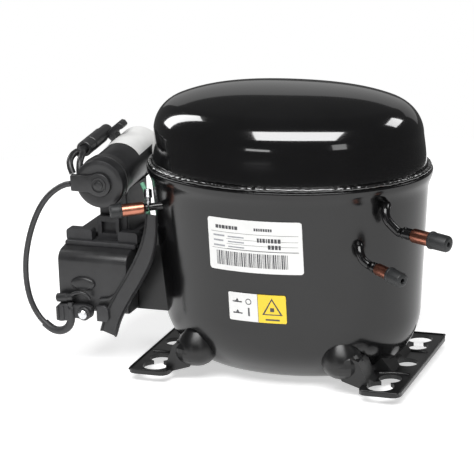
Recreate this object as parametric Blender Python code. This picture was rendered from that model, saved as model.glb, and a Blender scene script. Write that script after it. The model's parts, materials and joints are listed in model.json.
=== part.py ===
"""Hermetic reciprocating compressor for a refrigerator, with its internal pump and motor.

Frame: +X towards the suction and discharge tubes, -Y towards the labelled side, +Z up. The origin is
the centre of the pattern of mounting holes, level with the flat underside of the welded shell.
All sizes are in metres.
"""

import math

import bmesh
import bpy
from mathutils import Matrix, Vector

# ---------------------------------------------------------------- driving dimensions: shell
SHELL_X, SHELL_Y = 0.002, 0.002          # centre of the oval shell in the mounting pattern
HALF_LENGTH, HALF_WIDTH = 0.0990, 0.0730  # outside of the lower housing just below its lip
HEIGHT = 0.2045
SHEET = 0.0030
SHELL_SIDES = 48
LIP_START_Z, LIP_Z = 0.1350, 0.1474
BOWL_RADIUS = 0.0500
BOWL_TAPER = 0.00575
LIP_INSIDE = -0.0002
LEDGE_Z = 0.1398
SKIRT_GROWTH = -0.0007
LID_WALL_TOP_GROWTH = -0.0026
LID_SHOULDER = 0.0250
LID_CROWN = 0.0104
LID_EDGE_SLOPE = 0.40
GAP = 0.0003

# ---------------------------------------------------------------- base plates
PLATE_Z, PLATE_THICK = 0.0060, 0.0030
PLATE_IN, PLATE_OUT, PLATE_HALF = 0.0695, 0.0995, 0.0640
OUTER_HOLE = (0.08255, 0.0508, 0.0095)
INNER_HOLE = (0.0850, 0.0350, 0.0080)
MIDDLE_HOLE = (0.0873, 0.0, 0.0080)
LOBE_X, LOBE_Y, LOBE_Z = 0.0550, 0.0460, 0.0215
LOBE_SIZE = (0.0145, 0.0125, 0.0115)

# ---------------------------------------------------------------- pump and motor
CRANK_X, CRANK_Y = -0.003, 0.002
CYLINDER_Z = 0.1410
BORE = 0.0135
PISTON_RADIUS = 0.0134
CRANK_THROW = 0.00975
ROD_LENGTH = 0.0420
SHAFT_RADIUS = 0.0089
BEARING_RADIUS = 0.0090
WEB_BASE_Z, WEB_TOP_Z, WEB_RADIUS = 0.1240, 0.1310, 0.0200
BLOCK_FACE_X = 0.0590
STATOR_LENGTH, STATOR_WIDTH = 0.1040, 0.0960
STATOR_Z0, STATOR_Z1 = 0.0450, 0.0950
STATOR_BORE, ROTOR_RADIUS = 0.0316, 0.0310
SPRING_MID_X, SPRING_X, SPRING_Y = -0.001, 0.0420, 0.0300

# ---------------------------------------------------------------- electrical parts
TERMINAL_Z = 0.0700
BOX_LEFT, BOX_RIGHT = -0.1560, -0.1074
BOX_FRONT, BOX_BACK = -0.0285, 0.0320
BOX_BOTTOM, BOX_TOP = 0.0420, 0.0920
CAN_X, CAN_Z, CAN_RADIUS = -0.1212, 0.1381, 0.0165
CAN_FRONT, CAN_BACK = -0.0440, 0.0400
CAN_AXIS = (-0.045, 1.0, 0.046)
CABLE_RADIUS = 0.0021

FINISHES = {
    "black_paint": ((0.012, 0.012, 0.013), 0.22, 0.0),
    "black_plastic": ((0.030, 0.030, 0.032), 0.45, 0.0),
    "grey_plastic": ((0.10, 0.10, 0.105), 0.5, 0.0),
    "copper": ((0.72, 0.35, 0.24), 0.3, 1.0),
    "rubber": ((0.045, 0.05, 0.05), 0.8, 0.0),
    "cable": ((0.05, 0.05, 0.052), 0.55, 0.0),
    "label": ((0.85, 0.85, 0.84), 0.4, 0.0),
    "caution_label": ((0.85, 0.65, 0.05), 0.4, 0.0),
    "green_wire": ((0.25, 0.55, 0.40), 0.4, 0.0),
    "zinc": ((0.75, 0.76, 0.78), 0.3, 1.0),
    "steel": ((0.50, 0.50, 0.52), 0.35, 1.0),
    "cast_iron": ((0.22, 0.22, 0.23), 0.6, 0.8),
    "lamination": ((0.30, 0.31, 0.34), 0.5, 0.9),
    "winding": ((0.55, 0.22, 0.08), 0.35, 0.6),
    "aluminium": ((0.72, 0.73, 0.75), 0.35, 1.0),
    "glass_bead": ((0.20, 0.32, 0.30), 0.15, 0.0),
}


# ---------------------------------------------------------------- modelling helpers
def clear_scene():
    for item in list(bpy.data.objects):
        bpy.data.objects.remove(item, do_unlink=True)


def finish_material(finish):
    """Return the Principled material of one finish, made the first time it is asked for."""
    material = bpy.data.materials.get(finish)
    if material is None:
        colour, roughness, metallic = FINISHES[finish]
        material = bpy.data.materials.new(finish)
        material.use_nodes = True
        shader = material.node_tree.nodes["Principled BSDF"]
        shader.inputs["Base Color"].default_value = (*colour, 1.0)
        shader.inputs["Roughness"].default_value = roughness
        shader.inputs["Metallic"].default_value = metallic
    return material


def along_can():
    """The turn from +Y to the capacitor's slightly tilted axis, about the front of the can."""
    turn = Vector((0, 1, 0)).rotation_difference(Vector(CAN_AXIS)).to_matrix().to_4x4()
    pivot = Matrix.Translation((CAN_X, CAN_FRONT, CAN_Z))
    return pivot @ turn @ pivot.inverted()


def make_object(name, bm, finish, origin=(0.0, 0.0, 0.0), on_can=False):
    """Turn a bmesh in world coordinates into a named object whose origin is at the given point."""
    if on_can:
        bmesh.ops.transform(bm, matrix=along_can(), verts=bm.verts)
    bmesh.ops.recalc_face_normals(bm, faces=bm.faces)
    bmesh.ops.translate(bm, verts=bm.verts, vec=-Vector(origin))
    mesh = bpy.data.meshes.new(name)
    bm.to_mesh(mesh)
    bm.free()
    mesh.shade_smooth()
    mesh.set_sharp_from_angle(angle=math.radians(35))
    thing = bpy.data.objects.new(name, mesh)
    thing.location = origin
    bpy.context.scene.collection.objects.link(thing)
    if finish:
        mesh.materials.append(finish_material(finish))
    return thing


def make_guide(name, bm, on_can=False):
    """A solid that only cuts or extends another one and is never part of the model itself."""
    guide = make_object(name, bm, None, on_can=on_can)
    guide.hide_render = True
    guide.display_type = "WIRE"
    return guide


def combine(target, guide, operation):
    modifier = target.modifiers.new(f"{operation.lower()}_{guide.name}", "BOOLEAN")
    modifier.operation = operation
    modifier.object = guide
    return target


def cut(target, *guides):
    for guide in guides:
        combine(target, guide, "DIFFERENCE")
    return target


def join(target, *guides):
    for guide in guides:
        combine(target, guide, "UNION")
    return target


def add_loft(bm, rings, closed=False):
    """Skin neighbouring rings of points. A closed loft joins its last ring to its first one."""
    loops = [[bm.verts.new(point) for point in ring] for ring in rings]
    pairs = list(zip(loops, loops[1:]))
    if closed:
        pairs.append((loops[-1], loops[0]))
    for lower, upper in pairs:
        for i, vert in enumerate(lower):
            j = (i + 1) % len(lower)
            bm.faces.new((vert, lower[j], upper[j], upper[i]))
    if not closed:
        bm.faces.new(loops[0])
        bm.faces.new(loops[-1])
    return bm


def loft(rings, closed=False):
    return add_loft(bmesh.new(), rings, closed)


def circle(centre, radius, axis, sides):
    """Points of a circle around an axis through its centre."""
    turn = Vector(axis).to_track_quat("Z", "Y")
    spokes = (2 * math.pi * i / sides for i in range(sides))
    return [Vector(centre) + turn @ Vector((radius * math.cos(a), radius * math.sin(a), 0)) for a in spokes]


def turned(start, axis, profile, sides=24, closed=False):
    """A turned solid. The profile lists (distance along the axis, radius)."""
    step = Vector(axis).normalized()
    rings = [circle(Vector(start) + step * along, radius, step, sides) for along, radius in profile]
    return loft(rings, closed)


def rod(start, end, radius, sides=24):
    along = Vector(end) - Vector(start)
    return turned(start, along, [(0.0, radius), (along.length, radius)], sides)


def block(low, high, bevel=0.0, bevel_steps=2):
    """A box between two corners, with optional rounded edges."""
    bm = bmesh.new()
    bmesh.ops.create_cube(bm, size=1.0)
    size = Vector(high) - Vector(low)
    bmesh.ops.scale(bm, vec=size, verts=bm.verts)
    bmesh.ops.translate(bm, vec=Vector(low) + size / 2, verts=bm.verts)
    if bevel:
        bmesh.ops.bevel(bm, geom=bm.edges, offset=bevel, segments=bevel_steps, affect="EDGES")
    return bm


def prism(outline, low, high, plane="XY"):
    """Extrude a closed outline. The plane names the outline's two axes."""
    place = {
        "XY": lambda u, v, w: (u, v, w),
        "XZ": lambda u, v, w: (u, w, v),
        "YZ": lambda u, v, w: (w, u, v),
    }[plane]
    return loft([[place(u, v, w) for u, v in outline] for w in (low, high)])


def arc(centre, radius, start, stop, count):
    """Points of a plane arc; the angles are in degrees."""
    angles = (math.radians(start + (stop - start) * i / (count - 1)) for i in range(count))
    return [(centre[0] + radius * math.cos(a), centre[1] + radius * math.sin(a)) for a in angles]


def rounded_rectangle(left, bottom, right, top, radius, count=4):
    """An outline with four round corners, anticlockwise."""
    corners = (
        (right - radius, top - radius, 0),
        (left + radius, top - radius, 90),
        (left + radius, bottom + radius, 180),
        (right - radius, bottom + radius, 270),
    )
    points = []
    for x, y, start in corners:
        points += arc((x, y), radius, start, start + 90, count)
    return points


def smooth_route(points, spacing):
    """Points at an even spacing along a Catmull-Rom curve through the route's own points."""
    knots = [Vector(p) for p in points]
    knots = [knots[0] * 2 - knots[1]] + knots + [knots[-1] * 2 - knots[-2]]
    fine = []
    for a, b, c, d in zip(knots, knots[1:], knots[2:], knots[3:]):
        for i in range(24):
            t = i / 24
            fine.append(0.5 * (2 * b + (c - a) * t + (2 * a - 5 * b + 4 * c - d) * t**2
                               + (3 * b - a - 3 * c + d) * t**3))
    fine.append(knots[-2])
    walked = [0.0]
    for a, b in zip(fine, fine[1:]):
        walked.append(walked[-1] + (b - a).length)
    steps = max(2, round(walked[-1] / spacing))
    route = []
    j = 0
    for i in range(steps + 1):
        goal = walked[-1] * i / steps
        while j < len(walked) - 2 and walked[j + 1] < goal:
            j += 1
        share = (goal - walked[j]) / (walked[j + 1] - walked[j])
        route.append(fine[j].lerp(fine[j + 1], min(1.0, share)))
    return route


def tube(name, points, radius, finish, resolution=2, spacing=None):
    """A round tube or cord: a bevelled curve with filled ends along a smooth route."""
    curve = bpy.data.curves.new(name, "CURVE")
    curve.dimensions = "3D"
    curve.bevel_depth = radius
    curve.bevel_resolution = resolution
    curve.use_fill_caps = True
    route = smooth_route(points, spacing or 5 * radius)
    spline = curve.splines.new("POLY")
    spline.points.add(len(route) - 1)
    for knot, place in zip(spline.points, route):
        knot.co = (*place, 1.0)
    curve.materials.append(finish_material(finish))
    thing = bpy.data.objects.new(name, curve)
    bpy.context.scene.collection.objects.link(thing)
    return thing


# ---------------------------------------------------------------- shell
def oval(growth, z, sides=SHELL_SIDES):
    """A level ring of the shell: the body's ellipse grown or shrunk by a distance."""
    a, b = HALF_LENGTH + growth, HALF_WIDTH + growth
    spokes = (2 * math.pi * i / sides for i in range(sides))
    return [(SHELL_X + a * math.cos(t), SHELL_Y + b * math.sin(t), z) for t in spokes]


def wall_growth(z):
    """How far the lower wall lies outside the reference oval; it tapers towards the bowl."""
    return -BOWL_TAPER * (LIP_START_Z - z) / (LIP_START_Z - BOWL_RADIUS)


def bowl_rings(offset, steps):
    """Rings of the bowl's round corner, bottom first, pushed outwards by an offset."""
    rings = []
    for i in range(steps + 1):
        turn = math.radians(90 * i / steps)
        reach = (BOWL_RADIUS + offset) * math.sin(turn)
        drop = (BOWL_RADIUS + offset) * math.cos(turn)
        rings.append(oval(-BOWL_TAPER - BOWL_RADIUS + reach, BOWL_RADIUS - drop))
    return rings


def shell_guide(name, offset, top=0.130):
    """The lower housing's outer volume grown by an offset, for cutting what fits against it."""
    rings = bowl_rings(offset, 6)
    rings.append(oval(wall_growth(top) + offset, top))
    return make_guide(name, loft(rings))


def spring_places():
    return [(SPRING_MID_X + SPRING_X * x, CRANK_Y + SPRING_Y * y) for x,
            y in ((-1, -1), (1, -1), (1, 1), (-1, 1))]


def build_lower_housing():
    outside = bowl_rings(0.0, 6) + [
        oval(0.0, LIP_START_Z),
        oval(0.0012, LIP_START_Z + 0.004),
        oval(0.0031, LIP_START_Z + 0.008),
        oval(0.0034, LIP_Z),
    ]
    inside = [
        oval(LIP_INSIDE, LIP_Z),
        oval(LIP_INSIDE, LEDGE_Z),
        oval(-SHEET, LEDGE_Z - 0.002),
    ] + bowl_rings(-SHEET, 5)[::-1]
    housing = make_object("lower_housing", loft(outside + inside), "black_paint")
    holes = [
        make_guide("terminal_hole", rod((-0.11, CRANK_Y, TERMINAL_Z), (-0.07, CRANK_Y, TERMINAL_Z),
                                        0.0130)),
    ] + [wall_hole(kind) for kind in TUBES]
    for i, (x, y) in enumerate(spring_places()):
        foot = 0.0115 if x < 0 else 0.0100
        join(housing, make_guide(f"spring_seat_{i}", rod((x, y, foot), (x, y, 0.0180), 0.0080, 16)))
    return cut(housing, *holes)


def lid_shoulder(offset, steps):
    """Rings of the lid's round shoulder, wall first, and the height of its inner edge."""
    centre_growth = LID_WALL_TOP_GROWTH - LID_SHOULDER
    rise = LID_SHOULDER * math.cos(math.atan(LID_EDGE_SLOPE))
    centre_z = HEIGHT - LID_CROWN - rise
    first, last = 90, math.degrees(math.atan(LID_EDGE_SLOPE))
    rings = []
    for i in range(steps + 1):
        turn = math.radians(first + (last - first) * i / steps)
        reach = (LID_SHOULDER + offset) * math.sin(turn)
        rings.append(oval(centre_growth + reach, centre_z + (LID_SHOULDER + offset) * math.cos(turn)))
    return rings


def lid_crown(offset, shares):
    """Rings of the gently domed top between the shoulder and the centre."""
    edge_turn = math.atan(LID_EDGE_SLOPE)
    edge_growth = LID_WALL_TOP_GROWTH - LID_SHOULDER * (1 - math.sin(edge_turn))
    a, b = HALF_LENGTH + edge_growth, HALF_WIDTH + edge_growth
    rings = []
    for share in shares:
        ring = []
        for i in range(SHELL_SIDES):
            t = 2 * math.pi * i / SHELL_SIDES
            reach = math.hypot(a * math.cos(t), b * math.sin(t))
            round_part = 2 - LID_EDGE_SLOPE * reach / (2 * LID_CROWN)
            drop = LID_CROWN * (round_part * share**2 + (1 - round_part) * share**4)
            ring.append((SHELL_X + a * share * math.cos(t), SHELL_Y + b * share * math.sin(t),
                         HEIGHT - drop + offset))
        rings.append(ring)
    return rings


def build_upper_housing():
    outside = [
        oval(SKIRT_GROWTH, LEDGE_Z + GAP + 0.0001),
        oval(SKIRT_GROWTH, LIP_Z + 0.003),
    ] + lid_shoulder(0.0, 6) + lid_crown(0.0, (0.8, 0.6, 0.35, 0.12))
    inside = lid_crown(-SHEET, (0.12, 0.5, 0.9)) + lid_shoulder(-SHEET, 4)[::-1][1:] + [
        oval(SKIRT_GROWTH - SHEET, LIP_Z + 0.003),
        oval(SKIRT_GROWTH - SHEET, LEDGE_Z + GAP + 0.0001),
    ]
    rings = outside + inside
    bm = bmesh.new()
    top_out, top_in = len(outside) - 1, len(outside)
    loops = [[bm.verts.new(point) for point in ring] for ring in rings]
    for k in range(len(loops)):
        if k == top_out:
            continue
        lower, upper = loops[k], loops[(k + 1) % len(loops)]
        for i, vert in enumerate(lower):
            j = (i + 1) % SHELL_SIDES
            bm.faces.new((vert, lower[j], upper[j], upper[i]))
    bm.faces.new(loops[top_out])
    bm.faces.new(loops[top_in])
    return make_object("upper_housing", bm, "black_paint")


def build_weld_bead():
    """The weld that fills the groove between the lid and the lip."""
    inner, outer = SKIRT_GROWTH + GAP, 0.0024
    base, crest = LIP_Z + GAP, LIP_Z + 0.0022
    profile = (
        (inner, base), (outer, base), (outer + 0.0004, base + 0.0008),
        (outer - 0.0006, crest), (inner + 0.0008, crest + 0.0004), (inner, crest - 0.0004),
    )
    rings = [oval(growth, z) for growth, z in profile]
    return make_object("weld_bead", loft(rings, closed=True), "black_paint")


def build_label(name, left, right, bottom, top, finish):
    """A thin curved plate that hugs the front of the lower wall."""
    columns, thick = 9, 0.0004
    grid = {}
    bm = bmesh.new()
    for side, lift in enumerate((GAP, GAP + thick)):
        for j, z in enumerate((bottom, top)):
            a = HALF_LENGTH + wall_growth(z) + lift
            b = HALF_WIDTH + wall_growth(z) + lift
            for i in range(columns):
                x = left + (right - left) * i / (columns - 1)
                y = SHELL_Y - b * math.sqrt(1 - ((x - SHELL_X) / a) ** 2)
                grid[side, j, i] = bm.verts.new((x, y, z))
    for i in range(columns - 1):
        for side in (0, 1):
            bm.faces.new([grid[side, j, k] for j, k in ((0, i), (0, i + 1), (1, i + 1), (1, i))])
        for j in (0, 1):
            bm.faces.new([grid[s, j, k] for s, k in ((0, i), (0, i + 1), (1, i + 1), (1, i))])
    for i in (0, columns - 1):
        bm.faces.new([grid[s, j, i] for s, j in ((0, 0), (0, 1), (1, 1), (1, 0))])
    return make_object(name, bm, finish)


def build_base_plate(name, side):
    """One stamped mounting strip, with its saddle and the round lobes welded under the bowl."""
    outline = rounded_rectangle(PLATE_IN, -PLATE_HALF, PLATE_OUT, PLATE_HALF, 0.006)
    outline = [(side * x, y) for x, y in outline]
    plate_top = PLATE_Z + PLATE_THICK
    plate = make_object(name, prism(outline, PLATE_Z, plate_top), "black_paint")
    saddle = [(0.060, PLATE_Z), (0.084, PLATE_Z), (0.084, plate_top), (0.075, 0.020), (0.060, 0.020)]
    saddle = [(side * x, z) for x, z in saddle]
    join(plate, make_guide(f"{name}_saddle", prism(saddle, -0.024, 0.024, "XZ")))
    neck = [(0.0520, 0.0180), (0.0560, 0.0110), (0.0715, PLATE_Z), (0.0760, PLATE_Z), (0.0760, plate_top),
            (0.0735, 0.0120), (0.0680, 0.0260), (0.0520, 0.0320)]
    neck = [(side * x, z) for x, z in neck]
    for row in (-1, 1):
        low, high = sorted((row * 0.0340, row * 0.0540))
        join(plate, make_guide(f"{name}_neck_{row}", prism(neck, low, high, "XZ")))
        lobe = bmesh.new()
        bmesh.ops.create_uvsphere(lobe, u_segments=20, v_segments=12, radius=1.0)
        bmesh.ops.scale(lobe, vec=LOBE_SIZE, verts=lobe.verts)
        bmesh.ops.translate(lobe, vec=(side * LOBE_X, row * LOBE_Y, LOBE_Z), verts=lobe.verts)
        join(plate, make_guide(f"{name}_lobe_{row}", lobe))
    cut(plate, shell_guide(f"{name}_seat", GAP))
    holes = [MIDDLE_HOLE]
    for x, y, radius in (OUTER_HOLE, INNER_HOLE):
        holes += [(x, -y, radius), (x, y, radius)]
    for i, (x, y, radius) in enumerate(holes):
        drill = rod((side * x, y, PLATE_Z - 0.005), (side * x, y, PLATE_Z + 0.025), radius, 24)
        cut(plate, make_guide(f"{name}_hole_{i}", drill))
    return plate


# ---------------------------------------------------------------- tubes, connectors and plugs
TUBES = {
    "suction": {
        "route": [(0.0788, -0.0340, 0.1330), (0.0850, -0.0392, 0.1345), (0.0858, -0.0444, 0.1328),
                  (0.0876, -0.0472, 0.1268), (0.0951, -0.0473, 0.1191)],
        "axis": (0.94, -0.35, -0.05), "tube_radius": 0.0031, "socket_radius": 0.0042, "copper_radius": 0.0048,
        "plug_radius": 0.0057, "socket_at": 0.0040, "copper_at": 0.0120, "plug_at": 0.0270, "plug_length": 0.0145,
    },
    "discharge": {
        "route": [(0.0640, -0.0450, 0.1085), (0.0690, -0.0514, 0.1088), (0.0706, -0.0548, 0.1052),
                  (0.0728, -0.0560, 0.1005), (0.0773, -0.0563, 0.0970)],
        "axis": (0.84, -0.53, -0.10), "tube_radius": 0.0030, "socket_radius": 0.0036, "copper_radius": 0.0041,
        "plug_radius": 0.0051, "socket_at": 0.0032, "copper_at": 0.0080, "plug_at": 0.0210, "plug_length": 0.0130,
    },
    "process": {
        "route": [(-0.0690, -0.0370, 0.1234), (-0.0770, -0.0396, 0.1234), (-0.0830, -0.0418, 0.1229)],
        "axis": (-0.872, -0.488, -0.052), "tube_radius": 0.0027, "socket_radius": 0.0030, "copper_radius": 0.0044,
        "plug_radius": 0.0051, "socket_at": 0.0030, "copper_at": 0.0060, "plug_at": 0.0222, "plug_length": 0.0085,
    },
}
PLUG_OVERLAP = 0.0060


def wall_hole(kind):
    """A guide that drills the shell wall for one tube, along the first stretch of its route."""
    start, then = (Vector(p) for p in TUBES[kind]["route"][:2])
    step = (then - start).normalized() * 0.006
    drill = rod(start - step, then + step, TUBES[kind]["tube_radius"] + GAP, 16)
    return make_guide(f"{kind}_hole", drill)


def build_tube_set(kind, spec):
    """A steel tube through the shell wall, its copper connector and the rubber plug on its mouth."""
    axis = Vector(spec["axis"]).normalized()
    last = Vector(spec["route"][-1])
    route = spec["route"] + [tuple(last + axis * spec["socket_at"])]
    tube(f"{kind}_tube", route, spec["tube_radius"], "black_paint", spacing=0.0035)
    wide, bore = spec["copper_radius"], spec["copper_radius"] - 0.0009
    shut = PLUG_OVERLAP if spec["plug_length"] > 0.01 else 0.0045
    start, swell, end = spec["socket_at"] + 2.5 * GAP, spec["copper_at"], spec["plug_at"] + shut
    profile = [(start, spec["socket_radius"]), (swell, spec["socket_radius"]), (swell + 0.0005, wide),
               (end, wide), (end, bore), (swell + 0.002, bore)]
    make_object(f"{kind}_connector", turned(last, axis, profile, 16), "copper")
    hood, tip = spec["plug_radius"], spec["plug_at"] + spec["plug_length"]
    cap = [(spec["plug_at"], wide + GAP), (spec["plug_at"], hood), (tip - 0.001, hood), (tip, hood - 0.001),
           (tip, 0.0016), (end - 0.0015, 0.0014), (end - 0.0015, bore - GAP), (end + GAP, bore - GAP),
           (end + GAP, wide + GAP)]
    make_object(f"{kind}_plug", turned(last, axis, cap, 16, closed=True), "rubber",
                origin=last + axis * end)


# ---------------------------------------------------------------- electrical box and capacitor
def build_terminal():
    """The sealed terminal: a cup in the end wall with three pins that pass through it."""
    cup = turned((-0.0860, CRANK_Y, TERMINAL_Z), (-1, 0, 0),
                 [(0.0, 0.0124), (0.0105, 0.0124), (0.0105, 0.0095), (0.0085, 0.0085)])
    terminal = make_object("hermetic_terminal", cup, "steel")
    for i, turn in enumerate((90, 210, 330)):
        y = CRANK_Y + 0.0055 * math.cos(math.radians(turn))
        z = TERMINAL_Z + 0.0055 * math.sin(math.radians(turn))
        join(terminal, make_guide(f"pin_{i}", rod((-0.1100, y, z), (-0.0790, y, z), 0.0012, 10)))
    return terminal


def build_fence():
    """The steel fence welded around the terminal, cut to the curve of the shell."""
    fence = make_object("terminal_fence", block((-0.1070, -0.0280, 0.0420), (-0.0800, 0.0310, 0.0905)),
                        "black_paint")
    inside = make_guide("fence_inside", block((-0.1200, -0.0262, 0.0440), (-0.0700, 0.0292, 0.0885)))
    return cut(fence, inside, shell_guide("fence_seat", GAP))


def build_relay_base():
    """The fixed half of the relay box, open towards the fence and towards the cover."""
    wall = 0.0022
    base = make_object("relay_base", block((BOX_LEFT, BOX_FRONT, BOX_BOTTOM),
                                           (BOX_RIGHT, BOX_BACK, BOX_TOP)),
                       "black_plastic")
    cavity = block((BOX_LEFT + wall, BOX_FRONT - 0.01, BOX_BOTTOM + wall),
                   (BOX_RIGHT + 0.01, BOX_BACK - wall, BOX_TOP - wall))
    cut(base, make_guide("relay_cavity", cavity))
    tabs = ((BOX_LEFT + 0.0012, -0.1350), (-0.1150, -0.1002))
    for i, (left, right) in enumerate(tabs):
        tab = prism(rounded_rectangle(left, BOX_TOP - 0.0012, right, BOX_TOP + 0.0075, 0.002), -0.0330,
                    -0.0252, "XZ")
        join(base, make_guide(f"flange_tab_{i}", tab))
    latch = prism(rounded_rectangle(-0.1330, BOX_TOP - 0.0012, -0.1165, BOX_TOP + 0.0165, 0.001), -0.0265,
                  -0.0230, "XZ")
    join(base, make_guide("latch_tower", latch))
    window = block((-0.1300, -0.0300, BOX_TOP + 0.0040), (-0.1190, -0.0200, BOX_TOP + 0.0125))
    return cut(base, make_guide("latch_window", window))


def cover_profile(inset):
    """The cover's side view: an upright front with a rounded top edge and a sloping top."""
    front, low = -0.0480 + inset, 0.0430 + inset
    corner = arc((-0.0400, 0.0795), 0.0080 - inset, 180, 106, 5)
    return [(-0.0288, low), (front + 0.003, low),
            (front, low + 0.003)] + corner + [(-0.0288, 0.0900 - inset)]


def build_relay_cover():
    cover = make_object("relay_cover", prism(cover_profile(0.0), BOX_LEFT, -0.1030, "YZ"), "black_plastic")
    inside = [(y + 0.0010, z) if y > -0.03 else (y, z) for y, z in cover_profile(0.002)]
    cut(cover, make_guide("cover_inside", prism(inside, BOX_LEFT + 0.002, -0.1050, "YZ")))
    bevel = cover.modifiers.new("soft_edges", "BEVEL")
    bevel.width = 0.0006
    bevel.segments = 1
    bevel.limit_method = "ANGLE"
    bevel.angle_limit = math.radians(50)
    return cover


def build_relay_parts():
    relay = block((-0.1260, -0.0235, 0.0500), (-0.1108, 0.0040, 0.0860), 0.0012, 1)
    make_object("ptc_relay", relay, "grey_plastic")
    overload = turned((-0.1108, 0.0185, 0.0680), (-1, 0, 0),
                      [(0.0, 0.0095), (0.0, 0.0098), (0.0100, 0.0098),
                                                            (0.0120, 0.0080), (0.0120, 0.0030)], 20)
    make_object("overload_protector", overload, "black_plastic")


def build_cover_strap():
    """The sprung strap that holds the cover: it arches from the shell down across the cover's front."""
    middle = [(-0.0815, 0.1190, 0), (-0.0832, 0.1040, 0), (-0.0880, 0.0880, 0), (-0.0965, 0.0720, 0),
              (-0.1065, 0.0560, 0), (-0.1140, 0.0420, 0), (-0.1185, 0.0290, 0)]
    route = smooth_route(middle, 0.0060)
    left, right = [], []
    for i, place in enumerate(route):
        ahead = route[min(i + 1, len(route) - 1)] - route[max(i - 1, 0)]
        half = 0.0040 + 0.0024 * min(1.0, 3.0 * i / len(route))
        across = Vector((ahead.y, -ahead.x, 0.0)).normalized() * half
        left.append((place.x - across.x, place.y - across.y))
        right.append((place.x + across.x, place.y + across.y))
    outline = left + right[::-1]
    return make_object("cover_strap", prism(outline, -0.0505, -0.0484, "XZ"), "black_plastic")


def build_cable_clamp():
    """The cord grip at the foot of the cover, with a half-round channel for the cable."""
    clamp = make_object("cable_clamp", block((-0.1565, -0.0560, 0.0370), (-0.1290, -0.0484, 0.0565),
                                             0.0015),
                        "black_plastic")
    channel = make_guide("cable_channel",
                         rod((-0.1455, -0.0525, 0.0300), (-0.1455, -0.0525, 0.0520), 0.0031, 12))
    mouth = make_guide("cable_mouth", turned((-0.1480, -0.0524, 0.0330), (0.35, 0.0, 1.0),
                                             [(0.0, 0.0052), (0.0110, 0.0036)], 12))
    bore = make_guide("clamp_screw_hole",
                      rod((-0.1345, -0.0600, 0.0440), (-0.1345, -0.0450, 0.0440), 0.0020, 12))
    cut(clamp, channel, mouth, bore)
    screw = turned((-0.1345, -0.0586, 0.0440), (0, 1, 0),
                   [(0.0, 0.0022), (0.0008, 0.0033), (0.0022, 0.0035), (0.0022, 0.0016),
                    (0.0095, 0.0016)], 16)
    make_object("clamp_screw", screw, "zinc")
    return clamp


def build_capacitor():
    can = turned((CAN_X, CAN_FRONT, CAN_Z), (0, 1, 0),
                 [(0.0, CAN_RADIUS - 0.0015), (0.0015, CAN_RADIUS),
                  (CAN_BACK - CAN_FRONT - 0.0015, CAN_RADIUS),
                  (CAN_BACK - CAN_FRONT, CAN_RADIUS - 0.0015)], 32)
    make_object("capacitor_can", can, "black_plastic", on_can=True)
    skirt, cap_front = CAN_RADIUS + 0.0013, -0.0475
    cap = turned((CAN_X, cap_front, CAN_Z), (0, 1, 0),
                 [(0.0, skirt - 0.0012), (0.0012, skirt), (0.0160, skirt), (0.0160, CAN_RADIUS + GAP),
                  (0.0030, CAN_RADIUS + GAP), (0.0030, 0.0040)], 32)
    cap = make_object("capacitor_cap", cap, "black_plastic", on_can=True)
    boss = [(CAN_X + 0.0005, CAN_Z)]
    boss = arc(boss[0], 0.0082, -90, 90, 9) + [(CAN_X - 0.0205, CAN_Z + 0.0068),
                                               (CAN_X - 0.0205, CAN_Z - 0.0052)]
    join(cap, make_guide("cap_boss", prism(boss, cap_front - 0.0022, cap_front + 0.0025, "XZ"), True))
    return cap


def build_cradle():
    """The holder that carries the capacitor above the relay box."""
    cradle = make_object("capacitor_cradle",
                         block((-0.1330, -0.0220, BOX_TOP + GAP), (-0.1110, 0.0158, 0.1290), 0.0012),
                         "black_plastic")
    shelf = block((-0.1400, -0.0220, BOX_TOP + GAP), (-0.1080, 0.0158, BOX_TOP + 0.0035), 0.0006, 1)
    join(cradle, make_guide("cradle_shelf", shelf))
    seat = rod((CAN_X, -0.06, CAN_Z), (CAN_X, 0.06, CAN_Z), CAN_RADIUS + GAP, 32)
    return cut(cradle, make_guide("cradle_seat", seat, on_can=True))


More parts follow.
